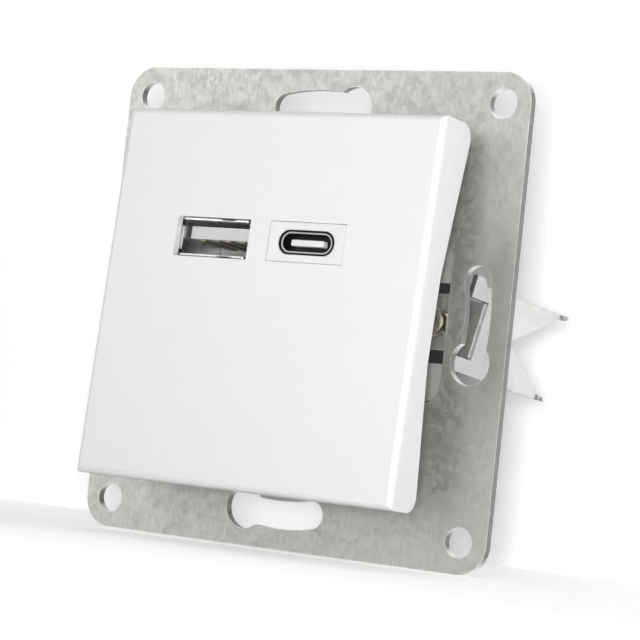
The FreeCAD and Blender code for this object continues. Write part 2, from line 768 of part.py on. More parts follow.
def make_front_housing():
    """Grey housing in the plate's opening, with ears in the lobes and a tilted front."""
    body = new_body("front_housing")
    half = "housing_height / 2"
    side = new_sketch(body, "housing_side", "YZ_Plane")
    draw_polygon(side, [("0", half), (cover_plane("housing_front_depth", half), half),
                        (cover_plane("housing_front_depth", f"(-{half})"), f"-{half}"),
                        ("0", f"-{half}")])
    pad(body, side, "housing_width", middle=True)
    edge_x = size("housing_width") / 2
    edge_z = size("housing_height") / 2
    dress_edges(body, "Fillet", "housing_corners", "housing_corner_radius",
                lambda edge: runs_along(edge, 1) and near(abs(middle_of(edge).x), edge_x))
    inner = "(housing_height / 2 - housing_wall)"
    depth = "(housing_front_depth + housing_wall)"
    hollow = new_sketch(body, "housing_hollow", "YZ_Plane")
    draw_polygon(hollow, [("1", inner), (cover_plane(depth, inner), inner),
                          (cover_plane(depth, f"(-{inner})"), f"-{inner}"), ("1", f"-{inner}")])
    hollow_cut = pocket(body, hollow, "housing_width - 2 * housing_wall")
    hollow_cut.SideType = "Symmetric"

    for name, low, high in (("upper_flange", f"{half} - 1", f"{half} + flange_reach"),
                            ("lower_flange", f"-{half} - flange_reach", f"-{half} + 1")):
        flange = new_sketch(body, name, "XZ_Plane", "plate_thickness")
        draw_rectangle(flange, "-flange_width / 2", "flange_width / 2", low, high)
        pad(body, flange, "flange_thickness")
    ears = new_sketch(body, "lobe_ears", "XZ_Plane")
    for side_x in (1, -1):
        root = f"{side_x} * (housing_width / 2 - housing_wall / 2)"
        tip = f"{side_x} * ear_tip"
        left, right = (root, tip) if side_x > 0 else (tip, root)
        draw_rectangle(ears, left, right, "window_top", "lobe_top - seat_gap")
        draw_rectangle(ears, left, right, "lobe_bottom + seat_gap", "window_bottom")
    pad(body, ears, "ear_thickness")
    ear_tip = size("housing_width") / 2 + size("ear_length")
    ear_ends = (size("lobe_top") - size("seat_gap"), size("lobe_bottom") + size("seat_gap"))
    dress_edges(body, "Fillet", "ear_corners", "lobe_corner_radius",
                lambda edge: runs_along(edge, 1) and near(abs(middle_of(edge).x), ear_tip)
                and any(near(middle_of(edge).z, end) for end in ear_ends))

    for name, sign in (("upper", ""), ("lower", "-")):
        bosses = new_sketch(body, f"{name}_bosses", "XZ_Plane")
        for side_x in (1, -1):
            draw_circle(bosses, f"{side_x} * column_x", f"{sign}column_z",
                        "housing_screw_radius + boss_wall")
        boss_end = cover_plane("(housing_front_depth + housing_wall / 2)", f"({sign}column_z)")
        pad(body, bosses, f"-{boss_end}")
        post_z = f"post_{name}_z"
        board = cover_plane("(port_board_depth - fit_gap)", f"({post_z} - post_radius)")
        front = cover_plane("(housing_front_depth + housing_wall / 2)", post_z)
        posts = new_sketch(body, f"{name}_posts", "XZ_Plane", f"-{board}")
        pins = new_sketch(body, f"{name}_post_pins", "XZ_Plane", f"-{board} - board_thickness - 1")
        for side_x in (1, -1):
            draw_circle(posts, f"{side_x} * post_x", post_z, "post_radius")
            draw_circle(pins, f"{side_x} * post_x", post_z, "post_pin_radius")
        pad(body, posts, f"{board} - {front}")
        pad(body, pins, f"{board} - {front} + board_thickness + 1")
    bores = new_sketch(body, "boss_bores", "XZ_Plane")
    for side_x in (1, -1):
        for side_z in (1, -1):
            draw_circle(bores, f"{side_x} * column_x", f"{side_z} * column_z",
                        "housing_screw_radius + thread_gap")
    pocket(body, bores, "housing_screw_length - well_floor + 4 * fit_gap", forward=True)

    windows = new_sketch(body, "port_windows", "XZ_Plane")
    centre = ("(cover_rise + port_rise * cos(cover_tilt * 1 deg)"
              " - (housing_front_depth + housing_wall / 2) * sin(cover_tilt * 1 deg))")
    for offset in ("usb_a_offset", "usb_c_offset"):
        draw_rectangle(windows, f"{offset} - aperture_width / 2 - seat_gap",
                       f"{offset} + aperture_width / 2 + seat_gap",
                       f"{centre} - aperture_height / 2 - seat_gap",
                       f"{centre} + aperture_height / 2 + seat_gap")
    pocket(body, windows, "cover_front", forward=True)
    return body


def make_rear_casing():
    """Rounded casing behind the plate, with screw columns and a recess for the terminals."""
    body = new_body("rear_casing")
    half = "housing_height / 2"
    outline = new_sketch(body, "casing_outline", "XZ_Plane")
    draw_rectangle(outline, "-housing_width / 2", "housing_width / 2", f"-{half}", half)
    pad(body, outline, "casing_depth", back=True)
    edge_x = size("housing_width") / 2
    dress_edges(body, "Fillet", "casing_corners", "casing_corner_radius",
                lambda edge: runs_along(edge, 1) and near(abs(middle_of(edge).x), edge_x))
    inner_x = "(housing_width / 2 - casing_wall)"
    inner_z = "(housing_height / 2 - casing_wall)"
    hollow = new_sketch(body, "casing_hollow", "XZ_Plane")
    draw_rectangle(hollow, f"-{inner_x}", inner_x, f"-{inner_z}", inner_z)
    pocket(body, hollow, "casing_depth - casing_wall")

    flanges = new_sketch(body, "casing_flanges", "XZ_Plane")
    for low, high in ((f"{half} - 1", f"{half} + flange_reach"),
                      (f"-{half} - flange_reach", f"-{half} + 1")):
        draw_rectangle(flanges, "-flange_width / 2", "flange_width / 2", low, high)
    pad(body, flanges, "flange_thickness", back=True)

    columns = new_sketch(body, "screw_columns", "XZ_Plane")
    bores = new_sketch(body, "screw_bores", "XZ_Plane")
    wells = new_sketch(body, "screw_wells", "XZ_Plane", "-well_floor")
    for side_x in (1, -1):
        for side_z in (1, -1):
            centre = (f"{side_x} * column_x", f"{side_z} * column_z")
            draw_circle(columns, *centre, "column_radius")
            draw_circle(bores, *centre, "housing_screw_radius + fit_gap")
            draw_circle(wells, *centre, "well_radius")
    pad(body, columns, "casing_depth", back=True)

    recess_x = "(terminal_width / 2 + fit_gap)"
    recess_top = "(terminal_top + fit_gap)"
    recess_front = "(terminal_front - fit_gap)"
    lining = new_sketch(body, "terminal_lining", "XZ_Plane", f"-({recess_front} - casing_wall)")
    draw_rectangle(lining, f"-{recess_x} - casing_wall", f"{recess_x} + casing_wall",
                   f"-{half} + casing_wall / 2", f"{recess_top} + casing_wall")
    pad(body, lining, f"casing_depth - {recess_front} + casing_wall", back=True)
    ribs = new_sketch(body, "board_ribs", "XZ_Plane", f"-({POWER_BOARD_REAR} + fit_gap)")
    for side_x in (1, -1):
        inner = f"{side_x} * (power_board_width / 2 - casing_wall)"
        outer = f"{side_x} * power_board_width / 2"
        left, right = (inner, outer) if side_x > 0 else (outer, inner)
        draw_rectangle(ribs, left, right, f"{recess_top} + casing_wall + 1", "power_board_top - 2")
    pad(body, ribs, f"casing_depth - casing_wall / 2 - {POWER_BOARD_REAR}", back=True)

    recess = new_sketch(body, "terminal_recess", "XZ_Plane", f"-{recess_front}")
    draw_rectangle(recess, f"-{recess_x}", recess_x, f"-{half} - 1", recess_top)
    pocket(body, recess, "casing_depth")
    tails = new_sketch(body, "tail_slots", "XZ_Plane",
                       "-(power_board_front - terminal_tail_thickness - 4 * fit_gap)")
    for side_x in (1, -1):
        centre = f"({side_x} * terminal_pitch / 2)"
        draw_rectangle(tails, f"{centre} - terminal_tail_width", f"{centre} + terminal_tail_width",
                       f"{recess_top} - 1", f"{recess_top} + casing_wall + 1")
    pocket(body, tails, "terminal_tail_thickness + board_thickness")
    pocket(body, bores, "well_floor + 1")
    pocket(body, wells, "casing_depth")
    return body


def make_housing_screws():
    """Four pan-head screws that draw the casing and the housing together over the plate."""
    screws = []
    for number, (side_x, side_z) in enumerate(((1, 1), (1, -1), (-1, 1), (-1, -1))):
        centre = (f"{side_x} * column_x", f"{side_z} * column_z")
        shank = cylinder(f"housing_screw_shank_{number}", "housing_screw_radius", "housing_screw_length",
                         (centre[0], "well_floor", centre[1]), FRONT_FACING)
        head = cylinder(f"housing_screw_head_{number}", "housing_screw_head_radius",
                        "housing_screw_head_height", (centre[0], "well_floor", centre[1]), REAR_FACING)
        recess_low = "well_floor + housing_screw_head_height / 2"
        recess_high = "well_floor + housing_screw_head_height + 1"
        arms = (("level", "housing_cross_half_length", "housing_cross_half_width"),
                ("upright", "housing_cross_half_width", "housing_cross_half_length"))
        recess = [box(f"housing_screw_cross_{number}_{label}",
                      (f"{centre[0]} - {wide}", recess_low, f"{centre[1]} - {tall}"),
                      (f"{centre[0]} + {wide}", recess_high, f"{centre[1]} + {tall}"))
                  for label, wide, tall in arms]
        blank = fuse(f"housing_screw_blank_{number}", [shank, head])
        screws.append(cut(f"housing_screw_{number}", blank, recess))
    return group("housing_screws", screws)


def along(distance, angle, offset="0", offset_angle="0"):
    """Return a point a distance along a direction in the XY plane, plus an offset across another."""
    return (f"({distance}) * sin({angle} * 1 deg) + ({offset}) * cos({offset_angle} * 1 deg)",
            f"({distance}) * cos({angle} * 1 deg) - ({offset}) * sin({offset_angle} * 1 deg)")


def claw_placement(item, side):
    """Put a claw on its screw, drooping and leaning as it hangs loose."""
    base = f"create(<<vector>>; {side} * claw_bend_x; claw_bend_depth; claw_bend_z)"
    turn = f"create(<<rotation>>; 0; {side} * claw_lean; -claw_droop)"
    item.setExpression("Placement", formula(f"create(<<placement>>; {base}; {turn})"))
    return item


def make_claw(name, side):
    """Spreading claw: a splayed strip with two points, two front arms and a forked tongue."""
    body = new_body(name)
    half = "claw_thickness / 2"
    bent = "(claw_splay + claw_tip_bend)"
    middle = "(claw_splay + claw_tip_bend / 2)"
    mitre = f"({half} / cos(claw_tip_bend / 2 * 1 deg))"
    straight = "(claw_length - claw_tip_length)"
    strip = new_sketch(body, f"{name}_strip", "XY_Plane")

    def shifted(point, added):
        return (f"{side} * ({point[0]} + {added[0]})", f"{point[1]} + {added[1]}")

    knee = along(straight, "claw_splay")
    tip = along("claw_tip_length", bent)
    end = (f"{knee[0]} + {tip[0]}", f"{knee[1]} + {tip[1]}")
    front = along("-claw_arm_length", "claw_splay")
    points = [
        shifted(front, along("0", "0", half, "claw_splay")),
        shifted(knee, along("0", "0", mitre, middle)),
        shifted(end, along("0", "0", half, bent)),
        shifted(end, along("0", "0", f"-{half}", bent)),
        shifted(knee, along("0", "0", f"-{mitre}", middle)),
        shifted(front, along("0", "0", f"-{half}", "claw_splay")),
    ]
    draw_polygon(strip, points)
    pad(body, strip, "claw_width + 2 * claw_shoulder_rise", middle=True)

    edge = "claw_width / 2"
    deep = "2 * claw_length"
    top = new_sketch(body, f"{name}_top", "YZ_Plane")
    high = f"({edge} + claw_shoulder_rise)"
    draw_polygon(top, [("-claw_shoulder_start", high), ("-claw_shoulder_end", edge), (deep, edge),
                       (deep, f"{high} + 1"), ("-claw_shoulder_start", f"{high} + 1")])
    pocket(body, top)
    below = new_sketch(body, f"{name}_below", "YZ_Plane")
    draw_rectangle(below, f"-{deep}", deep, f"-{high} - 1", f"-{edge}")
    pocket(body, below)
    window = new_sketch(body, f"{name}_window", "YZ_Plane")
    draw_rectangle(window, f"-{deep}", "-claw_window_root", "-claw_window_half", "claw_window_half")
    pocket(body, window)
    notch = new_sketch(body, f"{name}_notch", "YZ_Plane")
    root = "(claw_length - claw_notch_depth) * cos(claw_splay * 1 deg)"
    reach = f"{straight} * cos(claw_splay * 1 deg) + claw_tip_length * cos({bent} * 1 deg)"
    point_half = "(claw_width / 2 - claw_thickness / 4)"
    draw_polygon(notch, [(root, "0"), (reach, point_half), (f"{reach} + 2", point_half),
                         (f"{reach} + 2", f"-{point_half}"), (reach, f"-{point_half}")])
    pocket(body, notch)

    across = "(claw_screw_x - claw_bend_x)"
    rise = "(claw_screw_z - claw_bend_z)"
    lean = "(claw_lean * 1 deg)"
    droop = "(claw_droop * 1 deg)"
    centre_x = f"({across} * cos{lean} - {rise} * sin{lean})"
    centre_z = f"(({across} * sin{lean} + {rise} * cos{lean}) / cos{droop} - {half} * tan{droop})"
    tongue_end = f"({centre_x} - claw_tongue_overreach)"
    tongue = new_sketch(body, f"{name}_tongue", "XY_Plane")
    left, right = (tongue_end, "0") if side > 0 else ("0", f"-{tongue_end}")
    draw_rectangle(tongue, left, right, "-claw_thickness", "0")
    pad(body, tongue, "2 * (claw_window_half - seat_gap)", middle=True)
    fork = new_sketch(body, f"{name}_fork", "XZ_Plane")
    fork_half = f"(claw_screw_radius / cos{droop} + {half} * tan{droop} + 2 * fit_gap)"
    inner, outer = f"{side} * ({tongue_end} - 1)", f"{side} * {centre_x}"
    left, right = (inner, outer) if side > 0 else (outer, inner)
    draw_rectangle(fork, left, right, f"{centre_z} - {fork_half}", f"{centre_z} + {fork_half}")
    fork_cut = pocket(body, fork, "3 * claw_thickness")
    fork_cut.SideType = "Symmetric"
    fork_end = new_sketch(body, f"{name}_fork_end", "XZ_Plane")
    draw_circle(fork_end, f"{side} * {centre_x}", centre_z, fork_half)
    end_cut = pocket(body, fork_end, "3 * claw_thickness")
    end_cut.SideType = "Symmetric"
    return claw_placement(body, side)


def make_claw_nut(name, side):
    """Square nut behind the claw's tongue."""
    front = ("(claw_bend_depth + fit_gap"
             " + tan(claw_droop * 1 deg) * (claw_screw_z - claw_bend_z + nut_width / 2))")
    centre_x = f"({side} * claw_screw_x)"
    blank = box(f"{name}_blank", (f"{centre_x} - nut_width / 2", front, "claw_screw_z - nut_width / 2"),
                (f"{centre_x} + nut_width / 2", f"{front} + nut_thickness",
                 "claw_screw_z + nut_width / 2"))
    bore = cylinder(f"{name}_bore", "claw_screw_radius + thread_gap", "nut_thickness + 2",
                    (centre_x, f"{front} - 1", "claw_screw_z"), REAR_FACING)
    return cut(name, blank, [bore])


def make_claw_screw(name, side):
    """Claw screw: a head domed underneath, so that it tilts in its tab, and a long shank."""
    centre_x = f"({side} * claw_screw_x)"
    base = (centre_x, HEAD_TOP, "claw_screw_z")
    ball = doc.addObject("Part::Sphere", f"{name}_ball")
    ball.setExpression("Radius", formula("claw_head_sphere"))
    place(ball, base, REAR_FACING)
    rim = cylinder(f"{name}_rim", "claw_head_radius", "claw_head_sphere", base, REAR_FACING)
    head = doc.addObject("Part::MultiCommon", f"{name}_head")
    head.Shapes = [ball, rim]
    shank = cylinder(f"{name}_shank", "claw_screw_radius", "claw_screw_length - 1",
                     (centre_x, f"{HEAD_TOP} + 1", "claw_screw_z"), REAR_FACING)
    slots = [box(f"{name}_cross_{label}",
                 (f"{centre_x} - {wide}", f"{HEAD_TOP} - 1", f"claw_screw_z - {tall}"),
                 (f"{centre_x} + {wide}", f"{HEAD_TOP} + claw_head_rim", f"claw_screw_z + {tall}"))
             for label, wide, tall in (("level", "claw_cross_half_length", "claw_cross_half_width"),
                                       ("upright", "claw_cross_half_width", "claw_cross_half_length"))]
    return cut(name, fuse(f"{name}_blank", [head, shank]), slots)


CLAMP_LOW = "(wire_hole_z - clamp_height / 2)"
CLAMP_HIGH = "(wire_hole_z + clamp_height / 2)"
CLAMP_FRONT = "(terminal_depth_centre - clamp_depth / 2)"
CLAMP_REAR = "(terminal_depth_centre + clamp_depth / 2)"


def make_terminal_block():
    """Moulded block with two clamp chambers, wire holes at the rear and screw wells below."""
    half_width = "terminal_width / 2"
    blank = box("terminal_blank", (f"-{half_width}", "terminal_front", "casing_bottom"),
                (half_width, "casing_depth", "terminal_top"))
    tools = []
    for label, side in (("left", -1), ("right", 1)):
        centre = f"({side} * terminal_pitch / 2)"
        tools.append(box(f"clamp_chamber_{label}",
                         (f"{centre} - clamp_width / 2 - fit_gap", f"{CLAMP_FRONT} - fit_gap",
                          f"{CLAMP_LOW} - fit_gap"),
                         (f"{centre} + clamp_width / 2 + fit_gap", f"{CLAMP_REAR} + fit_gap",
                          "terminal_top + 1")))
        tools.append(cylinder(f"wire_hole_{label}", "wire_hole_radius", f"casing_depth - {CLAMP_REAR} + 1",
                              (centre, CLAMP_REAR, "wire_hole_z"), REAR_FACING))
        tools.append(cylinder(f"screw_well_{label}", "terminal_head_radius + fit_gap",
                              f"{CLAMP_LOW} - casing_bottom + 1",
                              (centre, "terminal_depth_centre", "casing_bottom - 1")))
    return cut("terminal_block", blank, tools)


def make_terminal_clamp(name, side):
    """Brass cage with a threaded floor and a tail that reaches the power board."""
    centre = f"({side} * terminal_pitch / 2)"
    cage = box(f"{name}_cage", (f"{centre} - clamp_width / 2", CLAMP_FRONT, CLAMP_LOW),
               (f"{centre} + clamp_width / 2", CLAMP_REAR, CLAMP_HIGH))
    mouth = box(f"{name}_mouth",
                (f"{centre} - clamp_width / 2 + clamp_wall", f"{CLAMP_FRONT} - 1",
                 f"{CLAMP_LOW} + clamp_wall"),
                (f"{centre} + clamp_width / 2 - clamp_wall", f"{CLAMP_REAR} + 1",
                 f"{CLAMP_HIGH} - clamp_wall"))
    thread = cylinder(f"{name}_thread", "terminal_screw_radius + thread_gap", "clamp_wall + 2",
                      (centre, "terminal_depth_centre", f"{CLAMP_LOW} - 1"))
    tail_rear = "(power_board_front - fit_gap)"
    tail = box(f"{name}_tail",
               (f"{centre} - terminal_tail_width / 2", f"{tail_rear} - terminal_tail_thickness",
                f"{CLAMP_HIGH} - clamp_wall"),
               (f"{centre} + terminal_tail_width / 2", tail_rear, "terminal_tail_top"))
    return fuse(name, [cut(f"{name}_body", cage, [mouth, thread]), tail])


def make_terminal_screw(name, side):
    """Slotted terminal screw that rises into its clamp."""
    centre = f"({side} * terminal_pitch / 2)"
    low = "(casing_bottom + terminal_head_recess)"
    head = cylinder(f"{name}_head", "terminal_head_radius", "terminal_head_height",
                    (centre, "terminal_depth_centre", low))
    shank = cylinder(f"{name}_shank", "terminal_screw_radius",
                     f"{CLAMP_LOW} + clamp_wall + terminal_screw_grip - {low}",
                     (centre, "terminal_depth_centre", low))
    slot = box(f"{name}_slot",
               (f"{centre} - terminal_head_radius", "terminal_depth_centre - terminal_slot_half_width",
                f"{low} - 1"),
               (f"{centre} + terminal_head_radius", "terminal_depth_centre + terminal_slot_half_width",
                f"{low} + terminal_head_height / 2"))
    return cut(name, fuse(f"{name}_blank", [head, shank]), [slot])


def make_power_board():
    """Mains board on the casing's ribs."""
    blank = box("power_board_blank", ("-power_board_width / 2", "power_board_front", "power_board_bottom"),
                ("power_board_width / 2", POWER_BOARD_REAR, "power_board_top"))
    holes = [cylinder(f"power_board_pin_hole_{number}", "link_pin_width", "board_thickness + 2",
                      (centre, "power_board_front - 1", "link_z"), REAR_FACING)
             for number, centre in enumerate(pin_places())]
    return cut("power_board", blank, holes)


CORE_REAR = "(power_board_front - 1)"
CORE_FRONT = f"({CORE_REAR} - core_depth)"


def make_transformer_core():
    """Ferrite core with a centre leg and two windows."""
    blank = box("core_blank", ("core_x - core_width / 2", CORE_FRONT, "core_z - core_height / 2"),
                ("core_x + core_width / 2", CORE_REAR, "core_z + core_height / 2"))
    windows = []
    for label, side in (("left", -1), ("right", 1)):
        inner = f"core_x + {side} * core_centre_leg / 2"
        outer = f"core_x + {side} * (core_width / 2 - core_side_leg)"
        low, high = (inner, outer) if side > 0 else (outer, inner)
        windows.append(box(f"core_window_{label}",
                           (low, f"{CORE_FRONT} + core_yoke", "core_z - core_height"),
                           (high, f"{CORE_REAR} - core_yoke", "core_z + core_height")))
    return cut("transformer_core", blank, windows)


BOBBIN_FRONT = f"({CORE_FRONT} + core_yoke + fit_gap / 2)"
BOBBIN_REAR = f"({CORE_REAR} - core_yoke - fit_gap / 2)"
TUBE_HALF_WIDTH = "(core_centre_leg / 2 + fit_gap / 2 + bobbin_wall)"
TUBE_HALF_HEIGHT = "(core_height / 2 + fit_gap / 2 + bobbin_wall)"
WINDING_HALF_ROOM = "(core_width / 2 - core_side_leg - fit_gap)"


def make_transformer_bobbin():
    """Bobbin: a square tube between two flanges, with two pin rails down to the board."""
    pieces = [box("bobbin_tube",
                  (f"core_x - {TUBE_HALF_WIDTH}", BOBBIN_FRONT, f"core_z - {TUBE_HALF_HEIGHT}"),
                  (f"core_x + {TUBE_HALF_WIDTH}", BOBBIN_REAR, f"core_z + {TUBE_HALF_HEIGHT}"))]
    for label, low in (("front", BOBBIN_FRONT), ("rear", f"({BOBBIN_REAR} - bobbin_flange)")):
        pieces.append(box(f"bobbin_flange_{label}",
                          (f"core_x - {WINDING_HALF_ROOM}", low, "core_z - bobbin_half_height"),
                          (f"core_x + {WINDING_HALF_ROOM}", f"{low} + bobbin_flange",
                           "core_z + bobbin_half_height")))
    rails = (("upper", "core_z + core_height / 2 + fit_gap", "core_z + bobbin_half_height"),
             ("lower", "core_z - bobbin_half_height", "core_z - core_height / 2 - fit_gap"))
    for label, low, high in rails:
        pieces.append(box(f"bobbin_rail_{label}",
                          (f"core_x - {WINDING_HALF_ROOM}", f"{BOBBIN_REAR} - bobbin_flange", low),
                          (f"core_x + {WINDING_HALF_ROOM}", "power_board_front", high)))
    bore = box("bobbin_bore",
               (f"core_x - {TUBE_HALF_WIDTH} + bobbin_wall", CORE_FRONT,
                f"core_z - {TUBE_HALF_HEIGHT} + bobbin_wall"),
               (f"core_x + {TUBE_HALF_WIDTH} - bobbin_wall", CORE_REAR,
                f"core_z + {TUBE_HALF_HEIGHT} - bobbin_wall"))
    return cut("transformer_bobbin", fuse("bobbin_blank", pieces), [bore])


def make_transformer_winding():
    """Copper winding between the bobbin's flanges, rounded at its corners."""
    body = new_body("transformer_winding")
    low = f"({BOBBIN_FRONT} + bobbin_flange)"
    length = f"{BOBBIN_REAR} - bobbin_flange - {low}"
    half_width = f"({TUBE_HALF_WIDTH} + winding_build)"
    half_height = f"({TUBE_HALF_HEIGHT} + winding_build)"
    outside = new_sketch(body, "winding_outside", "XZ_Plane", f"-{low}")
    draw_rectangle(outside, f"core_x - {half_width}", f"core_x + {half_width}",
                   f"core_z - {half_height}", f"core_z + {half_height}")
    pad(body, outside, length, back=True)
    dress_edges(body, "Fillet", "winding_corners", "winding_corner_radius",
                lambda edge: runs_along(edge, 1))
    inside = new_sketch(body, "winding_inside", "XZ_Plane")
    draw_rectangle(inside, f"core_x - {TUBE_HALF_WIDTH}", f"core_x + {TUBE_HALF_WIDTH}",
                   f"core_z - {TUBE_HALF_HEIGHT}", f"core_z + {TUBE_HALF_HEIGHT}")
    pocket(body, inside)
    return body


def standing_can(name, radius, length, x_text, z_text):
    """Return a can that stands on the power board."""
    return cylinder(name, radius, length, (x_text, f"power_board_front - {length}", z_text), REAR_FACING)


def make_input_capacitors():
    """Two electrolytic cans on the mains side."""
    cans = [standing_can(f"input_can_{label}", "input_capacitor_radius", "input_capacitor_length",
                         "input_capacitor_x", f"input_capacitor_{label}")
            for label in ("upper", "lower")]
    return group("input_capacitors", cans)


def make_output_capacitor():
    """Smaller electrolytic can on the low-voltage side."""
    return standing_can("output_capacitor", "output_capacitor_radius", "output_capacitor_length",
                        "output_capacitor_x", "output_capacitor_z")


def make_filter_coil():
    """Drum-core filter coil."""
    drum = standing_can("coil_drum", "coil_radius", "coil_length", "coil_x", "coil_z")
    waist_low = "(power_board_front - coil_length + coil_flange)"
    outer = cylinder("coil_waist_outside", "coil_radius + 1", "coil_length - 2 * coil_flange",
                     ("coil_x", waist_low, "coil_z"), REAR_FACING)
    inner = cylinder("coil_waist_inside", "coil_radius - coil_waist_depth", "coil_length",
                     ("coil_x", f"{waist_low} - 1", "coil_z"), REAR_FACING)
    return cut("filter_coil", drum, [cut("coil_waist", outer, [inner])])


def make_fuse_resistor():
    """Fusible resistor that lies along the board on two leads."""
    axis_y = "(power_board_front - fuse_radius - seat_gap)"
    barrel = cylinder("fuse_barrel", "fuse_radius", "fuse_length",
                      ("fuse_x - fuse_length / 2", axis_y, "fuse_z"), Rotation(Vector(0, 1, 0), 90))
    pieces = [barrel]
    for label, side in (("left", -1), ("right", 1)):
        end = f"fuse_x + {side} * (fuse_length / 2)"
        low, high = (end, f"{end} + lead_width") if side > 0 else (f"{end} - lead_width", end)
        pieces.append(box(f"fuse_lead_{label}",
                          (low, f"{axis_y} - lead_width / 2", "fuse_z - lead_width / 2"),
                          (high, "power_board_front", "fuse_z + lead_width / 2")))
    return fuse("fuse_resistor", pieces)


def make_chip(name):
    """Flat package on the rear of the power board."""
    return box(name, (f"{name}_x - chip_length / 2", POWER_BOARD_REAR, f"{name}_z - chip_width / 2"),
               (f"{name}_x + chip_length / 2", f"{POWER_BOARD_REAR} + chip_height",
                f"{name}_z + chip_width / 2"))


def link_pins(prefix, low, high):
    """Return four square pins along Y between two expressions."""
    half = "link_pin_width / 2"
    return [box(f"{prefix}_{number}", (f"{centre} - {half}", low, f"link_z - {half}"),
                (f"{centre} + {half}", high, f"link_z + {half}"))
            for number, centre in enumerate(pin_places())]


def make_link_pins():
    """Four pins that join the two boards."""
    return group("link_pins", link_pins("link_pin", cover_plane("(port_board_depth - 1)", "link_z"),
                                        f"{POWER_BOARD_REAR} + link_pin_tail"))


def make_link_header():
    """Plastic strip that holds the link pins on the power board."""
    half = "link_pitch / 2"
    strip = box("link_strip",
                (f"link_x - 4 * {half}", "power_board_front - link_pitch", f"link_z - {half}"),
                (f"link_x + 4 * {half}", "power_board_front", f"link_z + {half}"))
    holes = link_pins("link_strip_hole", "power_board_front - 2 * link_pitch", "power_board_front + 1")
    return cut("link_header", strip, holes)


parts = [
    make_mounting_plate(), make_cover(), make_usb_c_adapter(), make_usb_a_shell(),
    make_usb_a_tongue(), make_usb_a_contacts(), make_usb_c_shell(), make_usb_c_tongue(),
    make_usb_c_contacts(), make_port_board(), make_front_housing(), make_rear_casing(),
    make_housing_screws(), make_terminal_block(), make_power_board(), make_transformer_core(),
    make_transformer_bobbin(), make_transformer_winding(), make_input_capacitors(),
    make_output_capacitor(), make_filter_coil(), make_fuse_resistor(), make_chip("rectifier"),
    make_chip("controller"), make_link_pins(), make_link_header(),
]
for label, side in (("left", -1), ("right", 1)):
    parts += [
        make_claw(f"claw_{label}", side), make_claw_nut(f"claw_nut_{label}", side),
        make_claw_screw(f"claw_screw_{label}", side), make_terminal_clamp(f"terminal_clamp_{label}", side),
        make_terminal_screw(f"terminal_screw_{label}", side),
    ]
doc.recompute()

for item in doc.Objects:
    if "Invalid" in item.State or "Error" in item.State:
        raise RuntimeError(f"{item.Name} failed: {item.State}")
os.makedirs("parts", exist_ok=True)
for item in parts:
    shape = item.Shape
    if shape.isNull() or not shape.isValid():
        raise RuntimeError(f"{item.Label} has no valid shape")
    shape.exportStep(f"parts/{item.Label}.step")
    print(f"{item.Label}: {len(shape.Solids)} solids, {shape.Volume:.2f} cubic mm")
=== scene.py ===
import logging
import math
from dataclasses import dataclass, replace
from enum import Enum

import bmesh
import bpy
from mathutils import Matrix, Vector


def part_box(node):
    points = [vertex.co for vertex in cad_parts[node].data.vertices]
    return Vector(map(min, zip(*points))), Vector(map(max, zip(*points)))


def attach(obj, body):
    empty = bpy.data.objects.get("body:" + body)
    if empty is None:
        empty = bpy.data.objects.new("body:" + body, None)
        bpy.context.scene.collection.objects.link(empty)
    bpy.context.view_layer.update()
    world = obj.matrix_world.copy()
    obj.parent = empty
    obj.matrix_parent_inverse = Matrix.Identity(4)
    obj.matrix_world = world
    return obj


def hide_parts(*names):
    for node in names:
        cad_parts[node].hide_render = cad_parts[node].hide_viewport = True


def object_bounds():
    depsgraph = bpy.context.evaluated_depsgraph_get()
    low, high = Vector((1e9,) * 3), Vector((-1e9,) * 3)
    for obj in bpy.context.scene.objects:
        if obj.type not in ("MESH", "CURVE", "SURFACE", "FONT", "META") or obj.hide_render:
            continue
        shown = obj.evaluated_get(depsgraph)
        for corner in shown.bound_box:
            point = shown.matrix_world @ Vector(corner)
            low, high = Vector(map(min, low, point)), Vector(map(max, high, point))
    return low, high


# Lengths are in metres and angles in degrees, where nothing else is said.
LOG = logging.getLogger("usb_wall_socket")
MM = 0.001
SHARP_ANGLE = math.radians(40)
BROKEN_ANGLE = math.radians(32)
WELD_REACH = 0.001 * MM

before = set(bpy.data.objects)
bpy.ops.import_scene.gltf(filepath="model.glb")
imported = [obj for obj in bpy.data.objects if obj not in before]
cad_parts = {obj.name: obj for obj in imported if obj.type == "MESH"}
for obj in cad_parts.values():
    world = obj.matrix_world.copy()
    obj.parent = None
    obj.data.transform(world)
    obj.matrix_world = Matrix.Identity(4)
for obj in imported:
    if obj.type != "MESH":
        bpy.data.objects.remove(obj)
CAD_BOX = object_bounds()

Pair = tuple[float, float]
Point = tuple[float, float, float]
Colour = tuple[float, float, float]
Socket = bpy.types.NodeSocket
Mesh = bmesh.types.BMesh
Loop = list[bmesh.types.BMVert]


def rgba(colour: Colour, share: float = 1.0) -> tuple[float, float, float, float]:
    """Return a colour, or a share of it, with full opacity."""
    return (*(channel * share for channel in colour), 1.0)


def arrange(target: object, **settings: object) -> object:
    """Set properties of an object.

    Args:
        target: the object.
        **settings: the properties, by name.

    Returns:
        The same object.
    """
    for name, setting in settings.items():
        setattr(target, name, setting)
    return target


# ---------------------------------------------------------------- shader helpers


